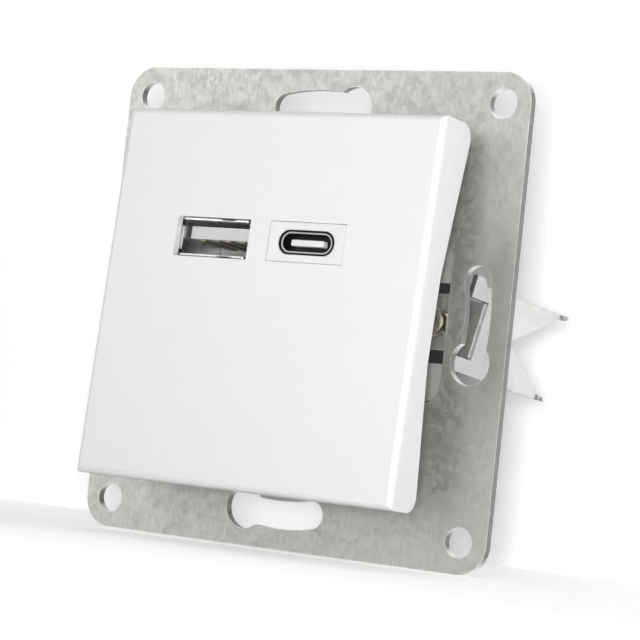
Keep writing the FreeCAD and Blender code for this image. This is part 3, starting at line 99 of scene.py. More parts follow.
class NodeSheet:
    """Adds and links nodes in one node tree."""

    def __init__(self, tree: bpy.types.NodeTree) -> None:
        """Keep the node tree to work in."""
        self.tree = tree

    def add(self, kind: str, **settings: object) -> bpy.types.Node:
        """Return a new node of a kind, with properties set on it."""
        return arrange(self.tree.nodes.new(kind), **settings)

    def feed(self, source: object, target: Socket) -> None:
        """Link a socket to an input, or write a plain value there.

        Args:
            source: a socket or a value.
            target: the input.
        """
        if isinstance(source, Socket):
            self.tree.links.new(source, target)
        else:
            target.default_value = source

    def run(self, kind: str, given: dict[object, object], output: object = 0,
            **settings: object) -> Socket:
        """Add a node and feed it.

        Args:
            kind: the node's type.
            given: values or sockets for its inputs, by name or number.
            output: name or number of the output to return.
            **settings: properties to set on it.

        Returns:
            The output's socket.
        """
        node = self.add(kind, **settings)
        for key, source in given.items():
            self.feed(source, node.inputs[key])
        return node.outputs[output]

    def noise(self, place: object, scale: object, detail: float = 3.0,
              roughness: float = 0.55) -> Socket:
        """Return the factor of a noise texture with a scale in repeats per metre."""
        return self.run("ShaderNodeTexNoise", {"Vector": place, "Scale": scale, "Detail": detail,
                                               "Roughness": roughness}, "Fac")

    def math(self, operation: str, first: object, second: object = 0.0) -> Socket:
        """Return the result of a math node."""
        return self.run("ShaderNodeMath", {0: first, 1: second}, operation=operation)

    def times(self, first: object, second: object) -> Socket:
        """Return the product of two values or sockets."""
        return self.math("MULTIPLY", first, second)

    def remap(self, value: object, low: object, high: object, to_low: float = 0.0,
              to_high: float = 1.0) -> Socket:
        """Return a value spread from one range to another, and clamped."""
        given = dict(enumerate((value, low, high, to_low, to_high)))
        return self.run("ShaderNodeMapRange", given, clamp=True)

    def mix(self, factor: object, first: object, second: object, blend: str = "MIX") -> Socket:
        """Return a mix of two colours, where the factor is the share of the second one."""
        return self.run("ShaderNodeMix", {0: factor, 6: first, 7: second}, 2, data_type="RGBA",
                        blend_type=blend)

    def vector(self, operation: str, given: tuple[object, ...], output: object = 0) -> Socket:
        """Return a result of a vector math node."""
        return self.run("ShaderNodeVectorMath", dict(enumerate(given)), output,
                        operation=operation)

    def stretch(self, place: object, factors: Point) -> Socket:
        """Return coordinates multiplied along each axis."""
        return self.vector("MULTIPLY", (place, factors))

    def split(self, place: object) -> list[Socket]:
        """Return the sockets of the three parts of a vector, in order of the axes."""
        parts = self.run("ShaderNodeSeparateXYZ", {0: place}).node
        return list(parts.outputs)


class GroupSheet(NodeSheet):
    """The nodes of a shader node group.

    Attributes:
        given: sockets of the group's inputs, by name.
        place: the one of them that holds the coordinates.
        result: sockets of the group's outputs, by name.
    """

    def __init__(self, tree: bpy.types.NodeTree) -> None:
        """Add the group's input and output.

        Args:
            tree: the group's tree.
        """
        super().__init__(tree)
        self.given = self.add("NodeGroupInput").outputs
        self.place = self.given["Place"]
        self.result = self.add("NodeGroupOutput").inputs


class MaterialSheet(NodeSheet):
    """The nodes of a material.

    Attributes:
        shader: the Principled shader's inputs.
        place: object coordinates.
    """

    def __init__(self, tree: bpy.types.NodeTree) -> None:
        """Find the shader, and add the coordinates.

        Args:
            tree: the material's tree.
        """
        super().__init__(tree)
        self.shader = tree.nodes["Principled BSDF"].inputs
        self.place = self.run("ShaderNodeTexCoord", {}, "Object")

    def facing(self, axis: int) -> Socket:
        """Tell how squarely the flat surface faces along one of the piece's own axes.

        Args:
            axis: 0, 1 or 2 for X, Y or Z.

        Returns:
            A socket from 0 to 1, the same for both directions of the axis.
        """
        flat = self.run("ShaderNodeNewGeometry", {}, "True Normal")
        turned = self.run("ShaderNodeVectorTransform", {0: flat}, vector_type="NORMAL",
                          convert_from="WORLD", convert_to="OBJECT")
        return self.math("ABSOLUTE", self.split(turned)[axis])

    def painted_along_y(self, tone: object, stops: tuple[Pair, ...]) -> object:
        """Paint light and shade into a tone along Y.

        Args:
            tone: the colour socket.
            stops: places, each with the share of the tone that is left there.

        Returns:
            The colour socket to use.
        """
        if not stops:
            return tone
        first, last = stops[0][0], stops[-1][0]
        ramp = self.add("ShaderNodeValToRGB")
        elements = ramp.color_ramp.elements
        while len(elements) < len(stops):
            elements.new(0.5)
        for element, (where, share) in zip(elements, stops):
            element.position = (where - first) / (last - first)
            element.color = rgba((share, share, share))
        self.feed(self.remap(self.split(self.place)[1], first, last), ramp.inputs[0])
        return self.mix(1.0, tone, ramp.outputs[0], "MULTIPLY")


class EffectGroup:
    """A shader node group that several finishes share.

    Attributes:
        name: the group's name.
        values: its inputs besides the coordinates, with what they are by default.
        results: its outputs.
    """

    name = "effect"
    values: dict[str, float] = {}
    results: tuple[str, ...] = ("Mask",)

    def tree(self) -> bpy.types.NodeTree:
        """Find the group, and build it the first time.

        Returns:
            The group.
        """
        known = bpy.data.node_groups.get(self.name)
        if known:
            return known
        tree = bpy.data.node_groups.new(self.name, "ShaderNodeTree")
        tree.interface.new_socket("Place", in_out="INPUT", socket_type="NodeSocketVector")
        for name, value in self.values.items():
            socket = tree.interface.new_socket(name, in_out="INPUT", socket_type="NodeSocketFloat")
            socket.default_value = value
        for name in self.results:
            tree.interface.new_socket(name, in_out="OUTPUT", socket_type="NodeSocketFloat")
        self.fill(GroupSheet(tree))
        return tree

    def fill(self, sheet: GroupSheet) -> None:
        """Build the group's own nodes."""
        raise NotImplementedError

    def put(self, sheet: MaterialSheet, **values: object) -> object:
        """Put the group in a material.

        Args:
            sheet: the material's nodes.
            **values: sockets or plain values for the inputs, by name.

        Returns:
            The sockets of the group's outputs.
        """
        node = sheet.add("ShaderNodeGroup", node_tree=self.tree())
        sheet.feed(sheet.place, node.inputs["Place"])
        for name, value in values.items():
            sheet.feed(value, node.inputs[name])
        return node.outputs


class CloudyTone(EffectGroup):
    """Soft patches, as where a surface has taken its finish unevenly."""

    name = "cloudy_tone"
    values = {"Scale": 100.0, "Spread": 0.2}

    def fill(self, sheet: GroupSheet) -> None:
        """Spread a slow noise round its middle.

        Args:
            sheet: the group's nodes.
        """
        low = sheet.math("SUBTRACT", 0.5, sheet.given["Spread"])
        high = sheet.math("ADD", 0.5, sheet.given["Spread"])
        slow = sheet.noise(sheet.place, sheet.given["Scale"], 4.0, 0.6)
        sheet.feed(sheet.remap(slow, low, high), sheet.result["Mask"])


class FineGrain(EffectGroup):
    """Fine relief of a moulded or rolled surface."""

    name = "fine_grain"
    values = {"Scale": 1500.0}
    results = ("Height", "Speck")

    def fill(self, sheet: GroupSheet) -> None:
        """Add two noises of different size, and pick out the peaks of the finer one.

        Args:
            sheet: the group's nodes.
        """
        coarse = sheet.noise(sheet.place, sheet.given["Scale"], 2.0, 0.5)
        finer = sheet.noise(sheet.place, sheet.times(sheet.given["Scale"], 2.7), 3.0, 0.6)
        height = sheet.math("ADD", sheet.times(coarse, 0.6), sheet.times(finer, 0.4))
        sheet.feed(height, sheet.result["Height"])
        sheet.feed(sheet.remap(finer, 0.58, 0.74), sheet.result["Speck"])


class HairScratches(EffectGroup):
    """Short fine scratches in two directions."""

    name = "hair_scratches"
    values = {"Scale": 200.0}

    def fill(self, sheet: GroupSheet) -> None:
        """Pick thin ridges from two long, narrow noises.

        Args:
            sheet: the group's nodes.
        """
        scale = sheet.given["Scale"]
        masks = []
        for factors in ((0.08, 1.0, 1.6), (1.5, 1.0, 0.07)):
            lines = sheet.noise(sheet.stretch(sheet.place, factors), scale, 2.0, 0.4)
            ridge = sheet.math("ABSOLUTE", sheet.math("SUBTRACT", lines, 0.5))
            masks.append(sheet.remap(ridge, 0.0, 0.012, 1.0, 0.0))
        spots = sheet.noise(sheet.place, sheet.times(scale, 0.7), 2.0)
        both = sheet.math("MAXIMUM", *masks)
        sheet.feed(sheet.times(both, sheet.remap(spots, 0.55, 0.7)), sheet.result["Mask"])


class Spangle(EffectGroup):
    """Small crystals of a zinc coat, each a little lighter or darker than the next."""

    name = "zinc_spangle"
    values = {"Scale": 900.0}
    results = ("Tone",)

    def fill(self, sheet: GroupSheet) -> None:
        """Give each cell of a warped cell pattern its own grey.

        Args:
            sheet: the group's nodes.
        """
        scale = sheet.given["Scale"]
        warp = sheet.run("ShaderNodeTexNoise", {"Vector": sheet.place,
                                                "Scale": sheet.times(scale, 1.3)}, "Color")
        shifted = sheet.vector("MULTIPLY_ADD", (warp, (0.6 * MM,) * 3, sheet.place))
        cells = sheet.run("ShaderNodeTexVoronoi", {"Vector": shifted, "Scale": scale}, "Color",
                          feature="F1")
        sheet.feed(sheet.run("ShaderNodeSeparateColor", {0: cells}), sheet.result["Tone"])


class EdgeDustAndHighlight(EffectGroup):
    """Narrow bands along sharp edges: greyed joints on moulded plastic, and a painted highlight
    along the steel sheet's edges.
    """

    name = "edge_dust_and_highlight"
    values = {"Width": 0.2 * MM}

    def fill(self, sheet: GroupSheet) -> None:
        """Compare the rounded normal with the plain one, and break the band up a little.

        Args:
            sheet: the group's nodes.
        """
        rounded = sheet.run("ShaderNodeBevel", {"Radius": sheet.given["Width"]}, samples=4)
        plain = sheet.run("ShaderNodeNewGeometry", {}, "Normal")
        agree = sheet.vector("DOT_PRODUCT", (rounded, plain), "Value")
        band = sheet.remap(agree, 0.72, 0.995, 1.0, 0.0)
        broken = sheet.remap(sheet.noise(sheet.place, 1400.0), 0.3, 0.6, 0.45, 1.0)
        sheet.feed(sheet.times(band, broken), sheet.result["Mask"])


CLOUDS = CloudyTone()
GRAIN = FineGrain()
SCRATCHES = HairScratches()
SPANGLE = Spangle()
EDGES = EdgeDustAndHighlight()


# ---------------------------------------------------------------- finishes


Layers = tuple[Socket, Socket, Socket]


@dataclass(frozen=True)
class Finish:
    """A surface finish, which makes one material.

    Attributes:
        name: the material's name.
        colour: main colour, as light values.
        roughness: how dull the surface is.
        painted_light_stops: places along Y, each with the share of the tone that is left there;
            painted shade and painted light along the piece.
        gloss: the shader's specular level.
        metallic: share of metal in the shader.
        coat: weight of a clear coat.
        depth: distance between the relief's lowest and highest point.
    """

    name: str
    colour: Colour
    roughness: float
    painted_light_stops: tuple[Pair, ...] = ()
    gloss: float = 0.5
    metallic: float = 0.0
    coat: float = 0.0
    depth: float = 0.004 * MM

    def material(self) -> bpy.types.Material:
        """Find the material, and make it the first time.

        Returns:
            The material.
        """
        known = bpy.data.materials.get(self.name)
        if known:
            return known
        made = bpy.data.materials.new(self.name)
        made.use_nodes = True
        made.diffuse_color = rgba(self.colour)
        sheet = MaterialSheet(made.node_tree)
        tone, rough, height = self.paint(sheet)
        bump = sheet.run("ShaderNodeBump", {"Distance": self.depth, "Height": height})
        # The base colour takes the finish's painted light and shade along Y.
        for name, source in (("Base Color", sheet.painted_along_y(tone, self.painted_light_stops)), ("Roughness", rough),
                             ("Normal", bump)):
            sheet.feed(source, sheet.shader[name])
        sheet.shader["Specular IOR Level"].default_value = self.gloss
        sheet.shader["Metallic"].default_value = self.metallic
        sheet.shader["Coat Weight"].default_value = self.coat
        return made

    def spread(self, sheet: MaterialSheet, value: Socket, low: float, high: float) -> Socket:
        """Return the roughness, changed from low to high by a value from 0 to 1."""
        return sheet.remap(value, 0.0, 1.0, self.roughness + low, self.roughness + high)

    def paint(self, sheet: MaterialSheet) -> Layers:
        """Build the surface's nodes, and return its colour, roughness and height."""
        raise NotImplementedError


@dataclass(frozen=True)
class MouldedPlastic(Finish):
    """Moulded plastic.

    Attributes:
        tone_shift: how much the colour varies.
        grain_scale: repeats of the mould's grain per metre.
        seam: how far the edges are greyed, as where dust lies in a joint.
    """

    tone_shift: float = 0.03
    grain_scale: float = 1800.0
    seam: float = 0.0

    def paint(self, sheet: MaterialSheet) -> Layers:
        """Vary the colour and roughness slightly, over the mould's fine grain.

        Args:
            sheet: the material's nodes.

        Returns:
            Its colour, roughness and height.
        """
        clouds = CLOUDS.put(sheet, Scale=120.0, Spread=0.25)["Mask"]
        grain = GRAIN.put(sheet, Scale=self.grain_scale)["Height"]
        toned = sheet.mix(clouds, rgba(self.colour, 1.0 - self.tone_shift), rgba(self.colour))
        if self.seam:
            edges = EDGES.put(sheet, Width=0.4 * MM)["Mask"]
            toned = sheet.mix(sheet.times(edges, self.seam), toned, rgba(self.colour, 0.45))
        return toned, self.spread(sheet, sheet.remap(grain, 0.3, 0.7), -0.04, 0.06), grain


@dataclass(frozen=True)
class GalvanisedSteel(Finish):
    """Zinc-coated steel sheet, dull and mottled.

    Attributes:
        dark: colour of the darker marks, and of the cut edges that face sideways, where it is
            partly bare steel and partly painted shade.
        spangle_scale: crystals per metre.
        right_shade: share of the tone that is left at the right end of the sheet, as painted shade.
        reach: half of the width over which that share is reached.
        shade_patch_share: share of the tone that is left on the patch of painted shade outside the
            right slot.
        shade_patch_start: X at which that patch starts and is full.
        shade_patch_end: height up to which it is full and at which it ends.
        rim_highlight: colour of the painted highlight along the edges.
        edge_highlight: colour of the painted highlight on the cut edges that face up or down.
    """

    metallic: float = 0.8
    depth: float = 0.012 * MM
    dark: Colour = (0.3, 0.31, 0.3)
    spangle_scale: float = 1100.0
    right_shade: float = 0.81
    reach: float = 40 * MM
    shade_patch_share: float = 0.68
    shade_patch_start: Pair = (29 * MM, 33 * MM)
    shade_patch_end: Pair = (7 * MM, 17 * MM)
    rim_highlight: Colour = (0.92, 0.93, 0.91)
    edge_highlight: Colour = (0.9, 0.91, 0.89)

    def level(self, sheet: MaterialSheet) -> Socket:
        """Paint shade into the tone: falling off to the right, and on a patch outside the right
        slot.

        Args:
            sheet: the material's nodes.

        Returns:
            The colour socket.
        """
        x, _, z = sheet.split(sheet.place)
        # painted shade: the tone darkens towards the plate's right end, and on a patch beside the
        # right slot.
        right_shade = sheet.remap(x, -self.reach, self.reach, 1.0, 0.0)
        across = sheet.mix(right_shade, rgba(self.colour, self.right_shade), rgba(self.colour))
        height = sheet.remap(sheet.math("ABSOLUTE", z), *self.shade_patch_end, 1.0, 0.0)
        shade_patch = sheet.times(sheet.remap(x, *self.shade_patch_start), height)
        return sheet.mix(shade_patch, across, rgba(self.colour, self.shade_patch_share * self.right_shade))

    def paint(self, sheet: MaterialSheet) -> Layers:
        """Mix crystals, rolling lines, clouds and dark marks over the painted shade, and paint
        highlights on the edges and light and shade on the cut edges.

        Args:
            sheet: the material's nodes.

        Returns:
            Its colour, roughness and height.
        """
        dark = rgba(self.dark)
        crystals = SPANGLE.put(sheet, Scale=self.spangle_scale)["Tone"]
        clouds = CLOUDS.put(sheet, Scale=70.0, Spread=0.16)["Mask"]
        grain = GRAIN.put(sheet, Scale=2200.0)
        rolled = sheet.noise(sheet.stretch(sheet.place, (1.0, 1.0, 0.22)), 2600.0, 2.0, 0.5)
        marks = CLOUDS.put(sheet, Scale=420.0, Spread=0.11)["Mask"]
        level = self.level(sheet)
        lighter = sheet.mix(1.0, level, rgba((1.13,) * 3), "MULTIPLY")
        base = sheet.mix(sheet.times(clouds, 0.25), level, lighter)
        tone = sheet.math("ADD", sheet.times(crystals, 0.14), sheet.times(rolled, 0.86))
        flecks = sheet.remap(tone, 0.36, 0.64, 0.0, 0.42)
        toned = sheet.mix(flecks, base, rgba(self.colour, 0.66))
        toned = sheet.mix(sheet.remap(marks, 0.8, 1.0, 0.0, 0.2), toned, dark)
        toned = sheet.mix(sheet.times(grain["Speck"], 0.3), toned, dark)
        worn = SCRATCHES.put(sheet, Scale=240.0)["Mask"]
        toned = sheet.mix(sheet.times(worn, 0.4), toned, rgba(self.colour, 0.5))
        # The cut edges are painted: a painted highlight where they face up or down, and the dark
        # colour where they face sideways, partly bare steel and partly painted shade.
        cut = sheet.remap(sheet.facing(1), 0.35, 0.85, 1.0, 0.0)
        # painted highlight: a bright band along the edges, except on the cut sides.
        highlight_band = EDGES.put(sheet, Width=0.25 * MM)["Mask"]
        highlight_band = sheet.times(highlight_band, sheet.math("SUBTRACT", 1.0, cut))
        highlighted = sheet.mix(highlight_band, toned, rgba(self.rim_highlight))
        edge = sheet.mix(sheet.remap(sheet.facing(2), 0.35, 0.8), dark, rgba(self.edge_highlight))
        bare_and_shaded = sheet.mix(sheet.remap(grain["Speck"], 0.0, 1.0, 0.95, 0.75), toned, edge)
        height = sheet.math("ADD", grain["Height"], sheet.times(rolled, 0.6))
        return sheet.mix(cut, highlighted, bare_and_shaded), self.spread(sheet, crystals, -0.08, 0.1), height


@dataclass(frozen=True)
class PlatedMetal(Finish):
    """Plated or drawn metal with fine marks.

    Attributes:
        brushed: how far the marks run along one direction, as factors per axis.
        tarnish: colour of the duller patches.
        burr: how far the cut edges are darkened.
        torn: colour of the cut edges.
    """

    metallic: float = 1.0
    depth: float = 0.006 * MM
    brushed: Point = (1.0, 1.0, 1.0)
    tarnish: Colour = (0.4, 0.4, 0.38)
    burr: float = 0.0
    torn: Colour = (0.1, 0.11, 0.105)

    def paint(self, sheet: MaterialSheet) -> Layers:
        """Mix duller patches and drawn lines into the metal.

        Args:
            sheet: the material's nodes.

        Returns:
            Its colour, roughness and height.
        """
        clouds = CLOUDS.put(sheet, Scale=260.0, Spread=0.2)["Mask"]
        lines = sheet.noise(sheet.stretch(sheet.place, self.brushed), 2400.0, 3.0, 0.6)
        grain = GRAIN.put(sheet, Scale=2600.0)["Height"]
        toned = sheet.mix(sheet.times(clouds, 0.35), rgba(self.colour), rgba(self.tarnish))
        worn = SCRATCHES.put(sheet, Scale=500.0)["Mask"]
        toned = sheet.mix(sheet.times(worn, 0.3), toned, rgba(self.colour, 0.6))
        rough = self.spread(sheet, sheet.remap(lines, 0.3, 0.7), -0.06, 0.1)
        if self.burr:
            across = sheet.facing(0)
            cut = sheet.times(sheet.remap(across, 0.1, 0.3),
                              sheet.remap(across, 0.55, 0.8, 1.0, 0.0))
            streaks = sheet.noise(sheet.stretch(sheet.place, (1.0, 1.0, 0.5)), 1500.0, 3.0, 0.6)
            ragged = sheet.times(cut, sheet.remap(streaks, 0.4, 0.54, 0.35, 1.0))
            toned = sheet.mix(sheet.times(ragged, self.burr), toned, rgba(self.torn))
            rough = sheet.math("MAXIMUM", rough, sheet.times(cut, 0.7))
        return toned, rough, sheet.math("ADD", sheet.times(lines, 0.7), sheet.times(grain, 0.3))


@dataclass(frozen=True)
class SolderMask(Finish):
    """Green board lacquer over copper tracks.

    Attributes:
        copper: colour of the tracks under the lacquer.
        stain: colour of the darker patches.
    """

    depth: float = 0.03 * MM
    copper: Colour = (0.12, 0.42, 0.2)
    stain: Colour = (0.01, 0.05, 0.02)

    def paint(self, sheet: MaterialSheet) -> Layers:
        """Lay straight tracks under the lacquer, slightly raised.

        Args:
            sheet: the material's nodes.

        Returns:
            Its colour, roughness and height.
        """
        cells = sheet.run("ShaderNodeTexBrick", {"Vector": sheet.place, "Scale": 130.0,
                                                 "Mortar Size": 0.06}, "Fac")
        clouds = CLOUDS.put(sheet, Scale=90.0, Spread=0.2)["Mask"]
        toned = sheet.mix(cells, rgba(self.colour), rgba(self.copper))
        toned = sheet.mix(sheet.times(clouds, 0.2), toned, rgba(self.stain))
        return toned, self.spread(sheet, clouds, 0.0, 0.1), cells


@dataclass(frozen=True)
class WoundWire(Finish):
    """Enamelled copper wire, laid turn by turn along Y.

    Attributes:
        pitch: distance between turns.
        waves: scale of the wave texture times its wavelength.
    """

    metallic: float = 0.7
    depth: float = 0.08 * MM
    pitch: float = 0.3 * MM
    waves: float = 0.314

    def paint(self, sheet: MaterialSheet) -> Layers:
        """Round each turn with a wave along the coil's axis, and paint shade into the grooves
        between turns.

        Args:
            sheet: the material's nodes.

        Returns:
            Its colour, roughness and height.
        """
        given = {"Vector": sheet.place, "Scale": self.waves / self.pitch, "Distortion": 0.6}
        turns = sheet.run("ShaderNodeTexWave", given, "Fac", bands_direction="Y")
        clouds = CLOUDS.put(sheet, Scale=150.0, Spread=0.2)["Mask"]
        # painted shade: darker in the grooves between turns.
        toned = sheet.mix(turns, rgba(self.colour, 0.45), rgba(self.colour))
        return toned, self.spread(sheet, clouds, 0.0, 0.12), turns


PLATE_STEEL = GalvanisedSteel("plate_zinc", (0.535, 0.55, 0.515), 0.5, dark=(0.22, 0.23, 0.22))
# painted shade: the claw's tone is darker towards its root, up to Y 11.5 mm, where the plate shades
# it.
CLAW_STEEL = PlatedMetal("claw_zinc", (0.71, 0.72, 0.705), 0.36, metallic=0.75,
                         brushed=(1.0, 0.3, 1.0), burr=0.85,
                         painted_light_stops=((7.5 * MM, 0.72), (11.5 * MM, 0.98)))
COVER_WHITE = MouldedPlastic("cover_white", (0.83, 0.83, 0.83), 0.34, tone_shift=0.015,
                             grain_scale=900.0, depth=0.003 * MM)
BLOCK_WHITE = replace(COVER_WHITE, name="block_white", seam=0.6)
# painted shade and painted light inside the wide shell: darker just behind the lips, brighter
# further in.
DRAWN_STEEL = PlatedMetal("drawn_steel", (0.66, 0.67, 0.68), 0.3, brushed=(1.0, 0.2, 1.0),
                          painted_light_stops=((-11.5 * MM, 1.0), (-10.6 * MM, 0.6), (-7.0 * MM, 1.45)))
OVAL_STEEL = PlatedMetal("oval_steel", (0.36, 0.37, 0.38), 0.4, brushed=(0.15, 1.0, 1.0),
                         tarnish=(0.28, 0.28, 0.28))
# painted shade: the wide port's tongue darkens towards its rear, deep in the port.
PORT_WHITE = MouldedPlastic("port_tongue", (0.64, 0.64, 0.635), 0.4,
                            painted_light_stops=((-8.6 * MM, 1.0), (-5.0 * MM, 0.5)))
# Black for the ring, liner and sleeve of the ports: painted shade in their gaps.
PORT_SHADE_BLACK = MouldedPlastic("port_shade_black", (0.008, 0.008, 0.009), 0.4, gloss=0.12, tone_shift=0.1)
TONGUE_WHITE = MouldedPlastic("oval_tongue", (0.85, 0.85, 0.84), 0.38)
CONTACT_GOLD = PlatedMetal("contact_plating", (0.36, 0.33, 0.27), 0.55, tarnish=(0.24, 0.22, 0.18))
HOUSING_GREY = MouldedPlastic("housing_grey", (0.37, 0.375, 0.355), 0.45, tone_shift=0.06)
# painted shade: the casing's front, up to Y 12.5 mm, is near black where it lies in shade behind
# the plate's openings.
CASING_GREY = MouldedPlastic("casing_grey", (0.4, 0.4, 0.395), 0.5, gloss=0.12, tone_shift=0.08,
                             painted_light_stops=((12.5 * MM, 0.02), (14.0 * MM, 1.0)), depth=0.008 * MM)
TERMINAL_GREY = MouldedPlastic("terminal_grey", (0.3, 0.3, 0.3), 0.48, tone_shift=0.05)
BOARD_GREEN = SolderMask("board_green", (0.03, 0.2, 0.08), 0.3)
SCREW_ZINC = PlatedMetal("screw_zinc", (0.6, 0.6, 0.58), 0.3)
SCREW_NICKEL = PlatedMetal("screw_nickel", (0.62, 0.58, 0.47), 0.28, tarnish=(0.4, 0.35, 0.24))
CLAMP_BRASS = PlatedMetal("clamp_brass", (0.68, 0.52, 0.24), 0.32, tarnish=(0.45, 0.32, 0.14))
FERRITE = MouldedPlastic("sintered_ferrite", (0.035, 0.035, 0.04), 0.6, tone_shift=0.2,
                         depth=0.02 * MM)
BLACK_PLASTIC = MouldedPlastic("black_plastic", (0.012, 0.012, 0.012), 0.45)
COPPER_WIRE = WoundWire("copper_wire", (0.6, 0.24, 0.1), 0.32)
CAN_SLEEVE = MouldedPlastic("can_sleeve", (0.02, 0.02, 0.028), 0.3, coat=0.3)
RESISTOR_COAT = MouldedPlastic("resistor_lacquer", (0.12, 0.22, 0.12), 0.42,
                               depth=0.01 * MM)
PIN_TIN = PlatedMetal("tinned_pin", (0.68, 0.68, 0.66), 0.3)


# ---------------------------------------------------------------- meshes


def add_object(name: str, data: bpy.types.ID) -> bpy.types.Object:
    """Put an object in the scene.

    Args:
        name: its name.
        data: its mesh, lamp or camera.

    Returns:
        The new object.
    """
    made = bpy.data.objects.new(name, data)
    bpy.context.scene.collection.objects.link(made)
    return made


def add_mesh(name: str, mesh: Mesh) -> bpy.types.Object:
    """Put a mesh in the scene, and free its working form.

    Args:
        name: the object's name.
        mesh: its form.

    Returns:
        The new object.
    """
    data = bpy.data.meshes.new(name)
    mesh.to_mesh(data)
    mesh.free()
    return add_object(name, data)


def modify(piece: bpy.types.Object, name: str, kind: str, **settings: object) -> object:
    """Return a new modifier of a kind, with properties set on it."""
    return arrange(piece.modifiers.new(name, kind), **settings)


def new_piece(name: str, mesh: Mesh, finish: Finish, body: str) -> bpy.types.Object:
    """Turn a mesh into a piece that rides on a body.

    Args:
        name: the piece's name.
        mesh: its form, in the row frame.
        finish: its finish.
        body: the body that it rides on.

    Returns:
        The new object.
    """
    bmesh.ops.recalc_face_normals(mesh, faces=mesh.faces[:])
    piece = add_mesh(name, mesh)
    piece.data.materials.append(finish.material())
    piece.data.shade_smooth()
    piece.data.set_sharp_from_angle(angle=SHARP_ANGLE)
    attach(piece, body)
    LOG.info("piece %s on %s: %d faces", name, body, len(piece.data.polygons))
    return piece


def soften(piece: bpy.types.Object, width: float) -> None:
    """Break a piece's sharp edges with a small bevel.

    Args:
        piece: the object.
        width: the bevel's width.
    """
    modify(piece, "join_facets", "WELD", merge_threshold=WELD_REACH)
    modify(piece, "broken_edges", "BEVEL", width=width, segments=2, limit_method="ANGLE",
           angle_limit=BROKEN_ANGLE, use_clamp_overlap=True, harden_normals=False)
    modify(piece, "even_shading", "WEIGHTED_NORMAL", keep_sharp=False, weight=100)


def crisp(piece: bpy.types.Object, angle: float) -> None:
    """Shade a sheet's faces flat and its curved sides smooth, with clean corners between them.

    Args:
        piece: the object.
        angle: the least angle between faces that counts as a corner.
    """
    piece.data.shade_smooth()
    modify(piece, "join_facets", "WELD", merge_threshold=WELD_REACH)
    modify(piece, "clean_corners", "EDGE_SPLIT", split_angle=math.radians(angle),
           use_edge_sharp=False)


def dress(node: str, finish: Finish, edge: float = 0.0) -> bpy.types.Object:
    """Give a carried-over piece its finish and broken edges.

    Args:
        node: the piece's name in the frame.
        finish: its finish.
        edge: width of its broken edges; 0 leaves them sharp.

    Returns:
        The dressed object.
    """
    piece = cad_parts[node]
    material = finish.material()
    if not piece.data.materials:
        piece.data.materials.append(material)
    for index in range(len(piece.data.materials)):
        piece.data.materials[index] = material
    if edge:
        piece.data.shade_smooth()
        soften(piece, edge)
    LOG.info("dressed %s as %s", node, finish.name)
    return piece


def join_loops(mesh: Mesh, loops: list[Loop], closed: bool) -> None:
    """Span faces between loops of points.

    Args:
        mesh: the mesh that holds them.
        loops: the loops, in order.
        closed: join the last loop to the first; otherwise cap both.
    """
    pairs = list(zip(loops, loops[1:]))
    if closed:
        pairs.append((loops[-1], loops[0]))
    for first, second in pairs:
        for index in range(len(first)):
            after = (index + 1) % len(first)
            mesh.faces.new((first[index], first[after], second[after], second[index]))
    if not closed:
        mesh.faces.new(loops[0])
        mesh.faces.new(loops[-1])


# ---------------------------------------------------------------- sub-assemblies


Coats = tuple[tuple[str, Finish, float], ...]


@dataclass
class SubAssembly:
    """A group of pieces that are built and dressed together.

    Attributes:
        coats: name, finish and width of the broken edges, of each carried-over piece.
    """

    coats: Coats = ()

    def build(self) -> None:
        """Make the pieces that the frame doesn't hold."""

    def dress(self) -> None:
        """Give the carried-over pieces their finishes."""
        for node, finish, edge in self.coats:
            dress(node, finish, edge)


@dataclass
class MountingPlate(SubAssembly):
    """The steel plate.

    Attributes:
        corner: the least angle that counts as one of its corners.
    """

    corner: float = 30.0

    def dress(self) -> None:
        """Finish the plate in dull zinc."""
        crisp(dress("mounting_plate", PLATE_STEEL), self.corner)


@dataclass
class CoverPlate(SubAssembly):
    """The white centre plate and the block that frames the oval port."""

    coats: Coats = (
        ("cover_plate", COVER_WHITE, 0.14 * MM), ("usb_c_adapter", BLOCK_WHITE, 0.1 * MM))


@dataclass(frozen=True)
class CoverFrame:
    """The tilted frame of the cover's face: X right, Y into the cover, Z up its face.

    Attributes:
        front: distance of the face from the plate's rear.
        rise: height of the face's middle.
        tilt: lean of the face.
        quarter_steps: steps in each rounded corner of a loop.
    """

    front: float = 12.9 * MM
    rise: float = 0.37 * MM
    tilt: float = 4.11
    quarter_steps: int = 12

    def matrix(self) -> Matrix:
        """Return the turn and shift from this frame to the row frame."""
        lean = Matrix.Rotation(-math.radians(self.tilt), 4, "X")
        return Matrix.Translation((0, -self.front, self.rise)) @ lean

    def loop(self, mesh: Mesh, centre: Pair, size: Pair, depth: float, corner: float) -> Loop:
        """Add a rounded rectangle of points.

        Args:
            mesh: the mesh to add to.
            centre: X and Z of its middle.
            size: its full width and height.
            depth: distance behind the face.
            corner: radius of its corners; 0 rounds its ends fully.

        Returns:
            The points, in order round it.
        """
        radius = min(corner or size[1] / 2, size[1] / 2 - WELD_REACH)
        points = []
        for quarter, (sign_x, sign_z) in enumerate(((1, 1), (-1, 1), (-1, -1), (1, -1))):
            for step in range(self.quarter_steps + 1):
                angle = math.pi / 2 * (quarter + step / self.quarter_steps)
                x = centre[0] + sign_x * (size[0] / 2 - radius) + radius * math.cos(angle)
                z = centre[1] + sign_z * (size[1] / 2 - radius) + radius * math.sin(angle)
                points.append(mesh.verts.new((x, depth, z)))
        return points


def grown(size: Pair, by: float) -> Pair:
    """Return a width and height, each larger by the same amount."""
    return (size[0] + by, size[1] + by)


Steps = tuple[tuple[Pair, float, float], ...]


